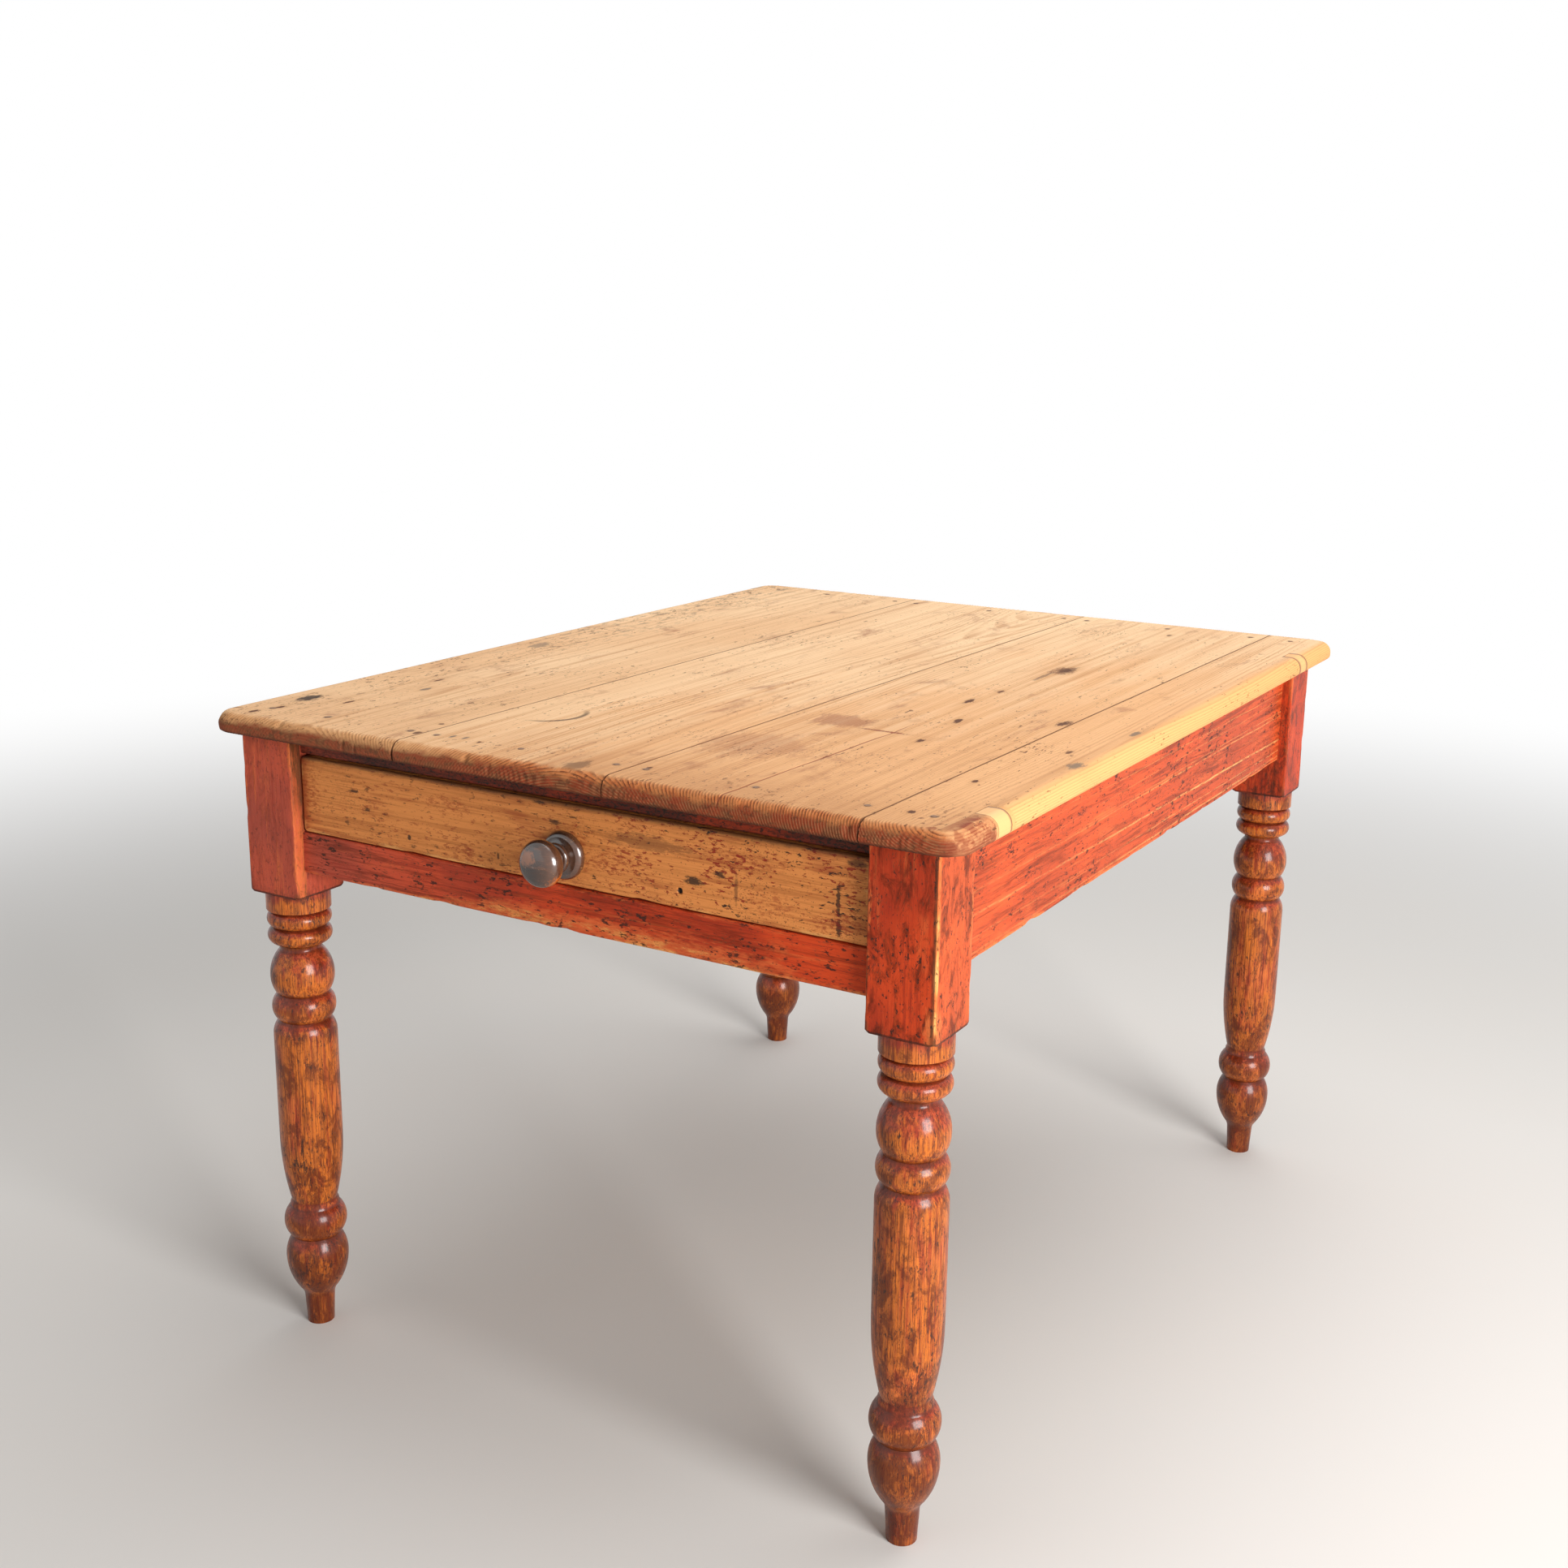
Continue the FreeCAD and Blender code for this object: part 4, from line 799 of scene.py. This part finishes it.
def place_mesh(name, bm):
    """Make an object of a mesh that is ready, at the origin."""
    mesh = bpy.data.meshes.new(name)
    bm.to_mesh(mesh)
    bm.free()
    return place_object(name, mesh)


def finish_piece(name, bm, materials, body, nodes, sharp=50.0):
    """Make a piece from a mesh: it stands for nodes of the model and rides on their body."""
    piece = place_mesh(name, bm)
    for material in materials:
        piece.data.materials.append(material)
    piece.data.shade_smooth()
    piece.data.set_sharp_from_angle(angle=math.radians(sharp))
    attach(piece, body)
    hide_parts(*nodes)


def dress(names, material):
    """Give nodes of the model their finish."""
    for name in names:
        for index in range(len(NODES[name].material_slots)):
            NODES[name].material_slots[index].material = material


def layers(bm, *names):
    return [bm.verts.layers.float.new(name) for name in names]


def nail_places():
    """Centres of the nail heads that lie in the top."""
    places = []
    for vert in NODES["top_nails"].data.vertices:
        if vert.co.z < TOP_Z - 0.1 * MM:
            continue
        near = [p for p in places if (p[0] - vert.co.x) ** 2 + (p[1] - vert.co.y) ** 2 < (10 * MM) ** 2]
        if near:
            near[0][2].append(vert.co.copy())
        else:
            places.append((vert.co.x, vert.co.y, [vert.co.copy()]))
    return [sum(found, Vector()) / len(found) for _, _, found in places]


def ends_of(name, side):
    """Where a board's long edge lies at the front and at the rear."""
    edge = []
    for y in (FRONT_Y, REAR_Y):
        near = [v.co.x for v in NODES[name].data.vertices if abs(v.co.y - y) < 0.1 * MM]
        edge.append(max(near) if side > 0 else min(near))
    return edge


def is_outer(name, side):
    return abs(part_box(name)[side > 0].x) > -SIDE_X - MM


def board_block(name):
    """A board with its rounded outer edges and eased seams."""
    size = sizes()
    low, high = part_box(name)
    bm = block(low, high)
    for side in (-1, 1):
        if is_outer(name, side):
            continue
        edge = ends_of(name, side)
        wanted = low.x if side < 0 else high.x
        for vert in bm.verts:
            if abs(vert.co.x - wanted) < MM:
                vert.co.x = edge[0] if vert.co.y < 0 else edge[1]
    outer = {side for side in (-1, 1) if is_outer(name, side)}

    def on_seam(face):
        return abs(face.normal.x) > 0.99 and (1 if face.normal.x > 0 else -1) not in outer

    def flat(face, way):
        return face.normal.z * way > 0.99

    def rim(edge, way):
        pair = edge.link_faces
        return any(flat(f, way) for f in pair) and not any(on_seam(f) for f in pair)

    bm.normal_update()
    upright = [e for e in long_edges(bm, 2) if abs(abs(e.verts[0].co.x) + SIDE_X) < MM]
    if upright:
        round_edges(bm, upright, size.corner_radius, 10)
        bm.normal_update()
    round_edges(bm, [e for e in bm.edges if rim(e, 1)], size.upper_round, 8)
    bm.normal_update()
    round_edges(bm, [e for e in bm.edges if rim(e, -1)], size.lower_round, 3)
    bm.normal_update()
    eased = [e for e in bm.edges if any(on_seam(f) for f in e.link_faces)
             and any(f.normal.z > 0.9 for f in e.link_faces)]
    round_edges(bm, eased, size.seam_ease, 2)
    bm.normal_update()
    return bm, on_seam


def cut_board(bm, on_seam, nails):
    """Give a board the points that carry its ridges, dents and nail marks."""
    size = sizes()

    def carries(face):
        return face.normal.z > -0.3 and not on_seam(face)

    rows = steps(FRONT_Y + 64 * MM, REAR_Y - 64 * MM, 18 * MM)
    for end, way in ((FRONT_Y, 1), (REAR_Y, -1)):
        rows += [end + way * (size.upper_round + reach * MM) for reach in END_CUTS]
    for y in {round(nail.y, 4) for nail in nails}:
        rows += [y + reach * MM for reach in NAIL_CUTS]
    slices(bm, 1, sorted(set(rows)), carries)
    across = [e for e in bm.edges if abs(e.verts[0].co.x - e.verts[1].co.x) > 30 * MM]
    span = max(abs(e.verts[0].co.x - e.verts[1].co.x) for e in across)
    bmesh.ops.subdivide_edges(bm, edges=across, cuts=round(span / size.grid), use_grid_fill=True)
    bm.normal_update()


def years(place, rings):
    """How many growth rings lie between the heart and a point."""
    heart_x, heart_z = rings["heart"]
    stray = wander((heart_x * MM, place.y, 0.0), (3.0, 1.7, 1.0), heart_z * 0.1) * rings["stray"] * MM
    dive = wander((place.y, heart_x * MM, 0.0), (1.1, 2.0, 1.0), 7.3) * rings["stray"] * 0.6 * MM
    reach = math.hypot(place.x - heart_x * MM - stray, place.z - heart_z * MM - dive)
    wobble = wander(place, (28.0, 4.0, 28.0), heart_x * 0.01) * 0.55
    wobble += wander(place, (9.0, 2.0, 9.0), 3.0) * 0.9
    return reach / (rings["year"] * MM) + wobble


def weather_board(bm, rings, nails, seams):
    """Wear a board: combed ends, hollows, dents, nail marks and one long shake."""
    size = sizes()
    ring, end, tone, nail, shake, seam = layers(bm, "ring", "end", "tone", "nail", "shake", "seam")
    moves = []
    for vert in bm.verts:
        place = vert.co
        vert[tone] = rings["tone"]
        vert[ring] = years(place, rings)
        inset = min(place.y - FRONT_Y, REAR_Y - place.y)
        vert[end] = fade(inset + wander(place, (40, 40, 40)) * 3 * MM, 1.5 * MM, size.end_reach)
        share = vert[ring] % 1.0
        hollow = 0.5 + 0.5 * math.cos(2 * math.pi * (share - 0.72))
        comb = 0.55 + 0.45 * wander(place, (14, 14, 30), 5.0)
        comb *= 0.8 + 0.7 * ease(place.x, -0.2, -0.02)
        loss = size.ridge_depth * (1.0 - hollow) * comb * fade(inset, 2 * MM, size.end_reach * 1.1)
        upward = max(0.0, vert.normal.z)
        loss += upward * size.top_wave * (0.5 + 0.5 * wander(place, (9, 3, 9), 2.0))
        loss += upward * 0.12 * MM * (1.0 - hollow)
        for dent, reach, depth in DENTS:
            gap = math.sqrt(sum(((place[i] - dent[i] * MM) / (reach[i] * MM)) ** 2 for i in range(3)))
            if gap < 1.0:
                loss += depth * MM * (1.0 - gap) ** 1.2
        vert[seam] = 0.0
        for front, rear in seams:
            line = front + (rear - front) * (place.y - FRONT_Y) / (REAR_Y - FRONT_Y)
            vert[seam] = max(vert[seam], fade(abs(place.x - line), 0.3 * MM, 1.2 * MM))
        vert[nail] = 0.0
        for head in nails:
            gap = math.hypot(place.x - head.x, place.y - head.y)
            if gap < 8 * MM and upward > 0.5:
                vert[nail] = 1.0 - gap / (8 * MM)
                loss = max(loss, 0.45 * MM * fade(gap, 3.6 * MM, 6.5 * MM))
        line = (CRACK_START[0] + (place.y * 1000 - CRACK_START[1]) * CRACK_STRAY) * MM
        gap = abs(place.x - line - wander(place, (1, 26, 1), 9.0) * 2.2 * MM)
        open_part = fade(place.y, -0.26, -0.16)
        vert[shake] = open_part * max(0.0, 1.0 - gap / (1.6 * MM)) if upward > 0.2 else 0.0
        loss += vert[shake] * 0.7 * MM
        moves.append(vert.normal * -loss)
    move_points(bm, moves)


def carve(mesh_object, helper, operation):
    """What a boolean with a helper box leaves of an object, as a new mesh."""
    cut = mesh_object.modifiers.new("cut", "BOOLEAN")
    cut.operation = operation
    cut.solver = "EXACT"
    cut.object = helper
    graph = bpy.context.evaluated_depsgraph_get()
    made = bpy.data.meshes.new_from_object(mesh_object.evaluated_get(graph))
    mesh_object.modifiers.remove(cut)
    return made


class TABLE_OT_top(Operator):
    """Build the four boards of the top, and dress all nails"""

    bl_idname = "table.top"
    bl_label = "Top boards"

    def execute(self, context):
        material = top_finish()
        nails = nail_places()
        for name in BOARDS:
            bm, on_seam = board_block(name)
            near = [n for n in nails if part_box(name)[0].x - MM < n.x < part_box(name)[1].x + MM]
            cut_board(bm, on_seam, near)
            seams = [ends_of(name, side) for side in (-1, 1) if not is_outer(name, side)]
            weather_board(bm, RINGS[name], near, seams)
            finish_piece(name + "_worn", bm, [material], "table", [name], 60.0)
        dress(["top_nails", "guide_nails", "drawer_bottom_nails"], iron_finish())
        return {"FINISHED"}


class TABLE_OT_patches(Operator):
    """Cut the two patches out of the right board and let in their own pieces"""

    bl_idname = "table.patches"
    bl_label = "Let in patches"

    def execute(self, context):
        material = patch_finish()
        board = bpy.data.objects["top_board_4_worn"]
        gap = 0.35 * MM
        below, past = UP * 5 * MM, Vector((5 * MM, 0.0, 5 * MM))
        for name in PATCHES:
            low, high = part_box(name)
            inner_low, inner_high = low + Vector((gap, gap, 0.0)), high - Vector((0.0, gap, 0.0))
            inner = place_mesh("inner", block(inner_low - below, inner_high + past))
            outer = place_mesh("outer", block(low - below, high + past))
            bpy.context.view_layer.update()
            piece_mesh = carve(board, inner, "INTERSECT")
            board_mesh = carve(board, outer, "DIFFERENCE")
            bm = bmesh.new()
            bm.from_mesh(piece_mesh)
            rim, = layers(bm, "rim")
            for vert in bm.verts:
                edge = min(vert.co.x - low.x, vert.co.y - low.y, high.y - vert.co.y)
                vert[rim] = fade(edge, 0.0, 1.6 * MM)
            finish_piece(name + "_worn", bm, [material], "table", [name])
            old = board.data
            board.data = board_mesh
            for mesh in (old, piece_mesh):
                bpy.data.meshes.remove(mesh)
            for helper in (inner, outer):
                bpy.data.objects.remove(helper)
        return {"FINISHED"}


def leg_profile(name):
    """Radius of a turned leg at each level below its square head, read from the model."""
    low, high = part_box(name)
    centre = (low + high) / 2
    levels = {}
    for vert in NODES[name].data.vertices:
        level = round(vert.co.z, 5)
        radius = math.hypot(vert.co.x - centre.x, vert.co.y - centre.y)
        levels[level] = max(radius, levels.get(level, 0.0))
    half = (high.x - low.x) / 2
    head = min(level for level, radius in levels.items() if radius > half)
    outline = sorted((level, radius) for level, radius in levels.items() if level < head - TINY)
    outline.append((head, outline[-1][1]))
    return centre, half, head, outline


def turn_leg(centre, outline, count):
    """Spin a leg's outline, with a layer that says how deep each point lies between its neighbours."""
    bm = bmesh.new()
    groove, = layers(bm, "groove")
    points = [(radius, level) for level, radius in outline]
    points = [(0.0, points[0][1]), *points, (0.0, points[-1][1])]
    chain = []
    for radius, level in points:
        vert = bm.verts.new((centre.x + radius, centre.y, level))
        near = [r for z, r in outline if abs(z - level) < 9 * MM]
        vert[groove] = max(0.0, min(1.0, (sum(near) / len(near) - radius) / (3.0 * MM) + 0.35))
        chain.append(vert)
    lines = [bm.edges.new(pair) for pair in zip(chain, chain[1:])]
    bmesh.ops.spin(bm, geom=chain + lines, cent=(centre.x, centre.y, 0.0), axis=UP, angle=2 * math.pi,
                   steps=count, use_merge=True, dvec=(0, 0, 0))
    bmesh.ops.remove_doubles(bm, verts=bm.verts, dist=TINY)
    bmesh.ops.recalc_face_normals(bm, faces=bm.faces)
    return bm


def leg_head(centre, half, level, height):
    """The square head of a leg, with rounded arrises and a rounded lower edge, which weather_head tucks in at
    the corners.
    """
    size = sizes()
    low = (centre.x - half, centre.y - half, level)
    high = (centre.x + half, centre.y + half, height)
    bm = block(low, high)
    round_edges(bm, long_edges(bm, 2), size.arris, 4)
    round_edges(bm, edges_at(bm, 2, level), 0.8 * MM, 2)
    for axis in (0, 1):
        places = {centre[axis] + side * (half - inset * MM) for inset in HEAD_CUTS for side in (-1, 1)}
        slices(bm, axis, sorted(places))
    slices(bm, 2, [level + 3 * MM, level + 6 * MM] + steps(level + 6 * MM, height, 5 * MM))
    return bm


def weather_head(bm, centre, half, level, seed):
    """Wear a leg's head: rubbed arrises, most of all the one nearest the drawer's right, and a dark foot,
    with painted shade in the recess beside the drawer and on the faces towards the table's middle.
    """
    size = sizes()
    wear, grime_and_shade = layers(bm, "wear", "grime_and_shade")
    bm.normal_update()
    moves = []
    for vert in bm.verts:
        x, y = vert.co.x - centre.x, vert.co.y - centre.y
        corner = max(half - abs(x), half - abs(y))
        front_arris = x > 0 > y
        nearest = front_arris and centre.x > 0 > centre.y
        strength = 1.0 if nearest else 0.5
        outer = ease(abs(wander(vert.co, (0.1, 0.1, 16.0), seed + 4 * (x > 0) + 9 * (y > 0))), 0.0, 0.35)
        rub = fade(corner, 2.0 * MM, (6.5 if nearest else 9.0) * MM)
        vert[wear] = rub * strength * (0.55 + 0.5 * outer)
        foot = vert.co.z - level
        if nearest:
            streaks = fade(foot, 12 * MM, 62 * MM) * fade(corner, 5 * MM, 22 * MM)
            vert[wear] = max(vert[wear], 0.62 * streaks)
        dark = max(1.5 * fade(foot, 0.6 * MM, 2.2 * MM), 0.52 * fade(foot, 3 * MM, 24 * MM))
        dark = max(dark, 0.8 * fade(foot, 4 * MM, 30 * MM) * fade(corner, 1 * MM, 9 * MM))
        if front_arris and y < -half + 1.5 * MM:
            dark = max(dark, 0.8 * strength * fade(corner, 4 * MM, 8 * MM) * ease(corner, 0.5 * MM, 2.5 * MM))
        inward = -x if centre.x > 0 else x
        # The inner face beside the drawer is rubbed to dirty bare wood; its darkening higher up, under the
        # top, and deeper into the recess is painted shade.
        if centre.y < 0 and half - inward < 1.5 * MM and y + half < 15 * MM:
            vert[wear] = max(vert[wear], 0.58)
            dark = max(dark, 0.47 + 0.3 * ease(vert.co.z, 0.62, 0.70) + 0.2 * ease(y + half, 8 * MM, 14 * MM))
        # Painted shade on the face that looks towards the table's middle: the front face of a rear leg, the
        # rear face of a front leg.
        if (y + half < 1.5 * MM and centre.y > 0) or (half - y < 1.5 * MM and centre.y < 0):
            dark = max(dark, 0.62)
        vert[grime_and_shade] = dark
        loss = 0.25 * MM * (0.5 + 0.5 * wander(vert.co, (40, 40, 12), seed))
        loss += size.arris_loss * rub * ease(wander(vert.co, (30, 30, 38), seed + 3.0), 0.1, 0.8)
        move = vert.normal * -loss
        move.z += 3 * MM * fade(corner, 0.0, 6 * MM) * fade(foot, 0.0, 6 * MM)
        moves.append(move)
    move_points(bm, moves)


class TABLE_OT_legs(Operator):
    """Turn the four legs from their outlines and set the worn square heads on them"""

    bl_idname = "table.legs"
    bl_label = "Turned legs"

    def execute(self, context):
        paint = paint_finish("red_leg_head", 2)
        turning = turned_finish()
        for number, name in enumerate(LEGS):
            centre, half, level, outline = leg_profile(name)
            bm = turn_leg(centre, outline, sizes().turning_steps)
            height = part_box(name)[1].z
            bm.normal_update()
            lean, = layers(bm, "lean")
            for vert in bm.verts:
                vert[lean] = vert.normal.z
                uneven = wander(vert.co, (26, 26, 9), number * 5.0) * 0.35
                uneven += wander(vert.co, (90, 90, 40), 1.5) * 0.15
                vert.co -= vert.normal * (0.25 + 0.5 * uneven) * MM
            head = leg_head(centre, half, level, height)
            weather_head(head, centre, half, level, number * 3.7)
            for face in head.faces:
                face.material_index = 1
            joined = bpy.data.meshes.new("head")
            head.to_mesh(joined)
            head.free()
            bm.from_mesh(joined)
            bpy.data.meshes.remove(joined)
            finish_piece(name + "_worn", bm, [turning, paint], "table", [name])
        return {"FINISHED"}


def worn_rail(low, high, axis, edges, seed, rubbed=None):
    """A painted rail with rounded long edges, each worn by its own strength, and a rubbed stretch."""
    size = sizes()
    bm = block(low, high)
    across = [i for i in range(3) if i != axis]

    def worn_edge(edge):
        middle = (edge.verts[0].co + edge.verts[1].co) / 2
        long = abs(edge.verts[0].co[axis] - edge.verts[1].co[axis]) > 50 * MM
        return long and any(all(abs(middle[i] - place[i]) < 10 * TINY for i in across) for place, _ in edges)

    round_edges(bm, [e for e in bm.edges if worn_edge(e)], size.arris, 4)
    slices(bm, axis, steps(low[axis], high[axis], 9 * MM))
    for i in across:
        for inset in (4, 7, 11):
            slices(bm, i, [low[i] + inset * MM, high[i] - inset * MM])
        if high[i] - low[i] > 30 * MM:
            slices(bm, i, steps(low[i] + 11 * MM, high[i] - 11 * MM, 12 * MM))
    wear, grime_and_shade = layers(bm, "wear", "grime_and_shade")
    bm.normal_update()
    moves = []
    for vert in bm.verts:
        vert[wear] = rubbed(vert.co) if rubbed else 0.0
        vert[grime_and_shade] = 0.0
        loss = 0.3 * MM * (0.5 + 0.5 * wander(vert.co, (14, 14, 30), seed))
        for corner, strength in edges:
            near = math.hypot(*(vert.co[i] - corner[i] for i in across))
            rub = fade(near, 1.5 * MM, 7 * MM)
            patchy = 0.5 + 0.6 * ease(abs(wander(vert.co, (9, 9, 9), seed)), 0.0, 0.4)
            vert[wear] = max(vert[wear], rub * strength * patchy)
            chipped = ease(wander(vert.co, (34, 34, 34), seed + 3.0), 0.1, 0.8)
            loss += size.arris_loss * strength * rub * chipped
        moves.append(vert.normal * -loss)
    move_points(bm, moves)
    return bm


class TABLE_OT_rails(Operator):
    """Build the painted rails between the legs"""

    bl_idname = "table.rails"
    bl_label = "Painted rails"

    def execute(self, context):
        sideways = paint_finish("red_rail_sideways", 0, marks=RAIL_MARKS)
        scratches = [(level * MM, slope, width * MM, share) for level, slope, width, share in RAIL_SCRATCHES]
        lengthways = paint_finish("red_rail_lengthways", 1, scratches, RAIL_MARKS)
        let_in = 0.6 * MM
        front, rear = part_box("leg_front_left")[1].y - let_in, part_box("leg_rear_left")[0].y + let_in
        left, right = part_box("leg_front_left")[1].x - let_in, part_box("leg_front_right")[0].x + let_in
        # The upper rail, under the top, is coated near black as painted shade.
        dusky = paint_finish("red_rail_under_top", 0, dirt_and_shade=0.5)
        rails = (
            ("side_apron_left", 1, lengthways, 0.6), ("side_apron_right", 1, lengthways, 0.6),
            ("rear_apron", 0, sideways, 0.6), ("drawer_rail_lower", 0, sideways, 0.65),
            ("drawer_rail_upper", 0, dusky, 0.2))
        for number, (name, axis, material, strength) in enumerate(rails):
            low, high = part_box(name)
            low[axis], high[axis] = (left, right) if axis == 0 else (front, rear)
            edges = [(Vector((x, y, low.z)), strength) for x in (low.x, high.x) for y in (low.y, high.y)]
            rubbed = None
            if name == "drawer_rail_lower":
                edges += [(Vector((x, low.y, high.z)), 0.35) for x in (low.x, high.x)]

                def rubbed(place):
                    reach = ease(place.x, -0.28, -0.10) * fade(place.x, 0.24, 0.36)
                    depth = (9 + 22 * reach) * MM
                    return 0.54 * reach * fade(place.z - low.z, depth * 0.3, depth)

            bm = worn_rail(low, high, axis, edges, number * 6.1, rubbed)
            finish_piece(name + "_worn", bm, [material], "table", [name])
        return {"FINISHED"}


class TABLE_OT_drawer_front(Operator):
    """Build the stripped drawer front with its worn edges and one small hole"""

    bl_idname = "table.drawer_front"
    bl_label = "Drawer front"

    def execute(self, context):
        size = sizes()
        low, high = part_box("drawer_front")
        side = 0.3 * MM
        low.x, high.x = low.x + side, high.x - side
        bm = block(low, high)
        round_edges(bm, long_edges(bm, 1), size.drawer_corner, 5)
        round_edges(bm, edges_at(bm, 1, low.y), size.arris, 4)
        hole = Vector((OLD_HOLE[0], low.y, OLD_HOLE[1]))
        for axis in (0, 2):
            slices(bm, axis, [hole[axis] + reach * MM for reach in HOLE_CUTS])
        for axis, inset, gap in ((0, 8 * MM, 8 * MM), (2, 5 * MM, 6 * MM)):
            places = steps(low[axis] + inset, high[axis] - inset, gap)
            slices(bm, axis, [p for p in places if abs(p - hole[axis]) > 6 * MM])
        wear, dark = layers(bm, "wear", "hole")
        bm.normal_update()
        moves = []
        for vert in bm.verts:
            place = vert.co
            edge = min(place.x - low.x, high.x - place.x, place.z - low.z, high.z - place.z)
            outer = place.y < low.y + 6 * MM
            rub = fade(edge, 1 * MM, 7 * MM) if outer else 0.0
            vert[wear] = rub * (0.4 + 0.7 * ease(abs(wander(place, (13, 13, 13), 4.0)), 0.0, 0.4))
            gap = math.hypot(place.x - hole.x, place.z - hole.z)
            vert[dark] = fade(gap, 2.2 * MM, 4.6 * MM) if outer else 0.0
            loss = 0.3 * MM * (0.5 + 0.5 * wander(place, (12, 12, 40), 8.0))
            loss += size.arris_loss * 0.8 * rub * ease(wander(place, (30, 30, 30), 2.0), 0.15, 0.8)
            loss += 4 * MM * fade(gap, 1.8 * MM, 3.6 * MM) if outer else 0.0
            moves.append(vert.normal * -loss)
        move_points(bm, moves)
        finish_piece("drawer_front_worn", bm, [front_finish()], "drawer",
                     ["drawer_front"])
        return {"FINISHED"}


class TABLE_OT_inside(Operator):
    """Dress the drawer box, the knob and the wood inside the frame"""

    bl_idname = "table.inside"
    bl_label = "Drawer box and inside"

    def execute(self, context):
        lengthways = raw_finish("drawer_pine_lengthways", 1, 0.35)
        sideways = raw_finish("drawer_pine_sideways", 0, 0.35)
        dusky = raw_finish("inner_pine_lengthways", 1, 0.6)
        dusky_side = raw_finish("inner_pine_sideways", 0, 0.6)
        dress(["drawer_side_left", "drawer_side_right"], lengthways)
        dress(["drawer_back", "drawer_bottom_front", "drawer_bottom_middle", "drawer_bottom_rear"], sideways)
        for part in ("drawer_runner", "drawer_guide", "drawer_kicker", "glue_blocks"):
            dress([part + "_left", part + "_right"], dusky)
        dress(["drawer_stop_left", "drawer_stop_right", "glue_blocks_rear"], dusky_side)
        dress(["drawer_knob"], knob_finish())
        return {"FINISHED"}


class TABLE_OT_stage(Operator):
    """Set the camera, the soft light and the pale floor"""

    bl_idname = "table.stage"
    bl_label = "Camera, light and floor"

    def execute(self, context):
        stage = context.scene.table_stage
        scene = context.scene
        scene.view_settings.view_transform = "Standard"
        forward = Vector(stage.camera_forward).normalized()
        right = Vector(stage.camera_right).normalized()
        up = right.cross(forward)
        lens = bpy.data.cameras.new("camera")
        lens.sensor_width = SENSOR_WIDTH
        lens.lens = stage.lens
        lens.clip_end = 200.0
        turn = Matrix((right, up, -forward)).transposed().to_4x4()
        scene.camera = place_object("camera", lens)
        scene.camera.matrix_world = Matrix.Translation(stage.camera_place) @ turn
        lamps = (
            ("key", (3.4, -1.6, 1.45), stage.key_power, 1.7),
            ("overhead", (0.3, 0.8, 3.2), stage.over_power, 3.0),
            ("fill", (-1.8, -3.0, 1.6), stage.fill_power, 2.6))
        for name, place, power, width in lamps:
            lamp = bpy.data.lights.new(name, "AREA")
            lamp.energy = power
            lamp.size = width
            turn = (LIT_POINT - Vector(place)).to_track_quat("-Z", "Y").to_matrix().to_4x4()
            place_object(name, lamp).matrix_world = Matrix.Translation(place) @ turn
        bm = bmesh.new()
        bmesh.ops.create_grid(bm, x_segments=4, y_segments=4, size=FLOOR_HALF)
        floor = place_mesh("floor", bm)
        floor.data.materials.append(floor_finish())
        world = bpy.data.worlds.new("studio")
        world.use_nodes = True
        scene.world = world
        tree = world.node_tree
        sky = tree.nodes["Background"]
        sky.inputs["Color"].default_value = (1.0, 1.0, 1.0, 1.0)
        level = tree.nodes.new("ShaderNodeMapRange")
        level.inputs["To Min"].default_value = stage.sky
        level.inputs["To Max"].default_value = 1.0
        tree.links.new(background_rays(tree), level.inputs["Value"])
        tree.links.new(level.outputs[0], sky.inputs["Strength"])
        return {"FINISHED"}


class TABLE_PT_parts(Panel):
    """The table's parts"""

    bl_label = "Kitchen table"
    bl_idname = "TABLE_PT_parts"
    bl_space_type = "VIEW_3D"
    bl_region_type = "UI"
    bl_category = "Table"

    def draw(self, context):
        for step in STEPS:
            self.layout.operator(step.bl_idname)
        for group in (context.scene.table_sizes, context.scene.table_colours, context.scene.table_stage):
            for name in group.__annotations__:
                self.layout.prop(group, name)


STEPS = (TABLE_OT_stage, TABLE_OT_top, TABLE_OT_patches, TABLE_OT_legs, TABLE_OT_rails,
         TABLE_OT_drawer_front, TABLE_OT_inside)
GROUPS = {"table_sizes": TableSizes, "table_colours": TableColours, "table_stage": TableStage}


def register():
    for group in (*GROUPS.values(), *STEPS, TABLE_PT_parts):
        bpy.utils.register_class(group)
    for name, group in GROUPS.items():
        setattr(bpy.types.Scene, name, PointerProperty(type=group))


def unregister():
    for name in GROUPS:
        delattr(bpy.types.Scene, name)
    for group in (TABLE_PT_parts, *reversed(STEPS), *GROUPS.values()):
        bpy.utils.unregister_class(group)


def main():
    register()
    bpy.ops.table.stage()
    bpy.ops.table.top()
    bpy.ops.table.patches()
    bpy.ops.table.legs()
    bpy.ops.table.rails()
    bpy.ops.table.drawer_front()
    bpy.ops.table.inside()


if __name__ == "__main__":
    main()
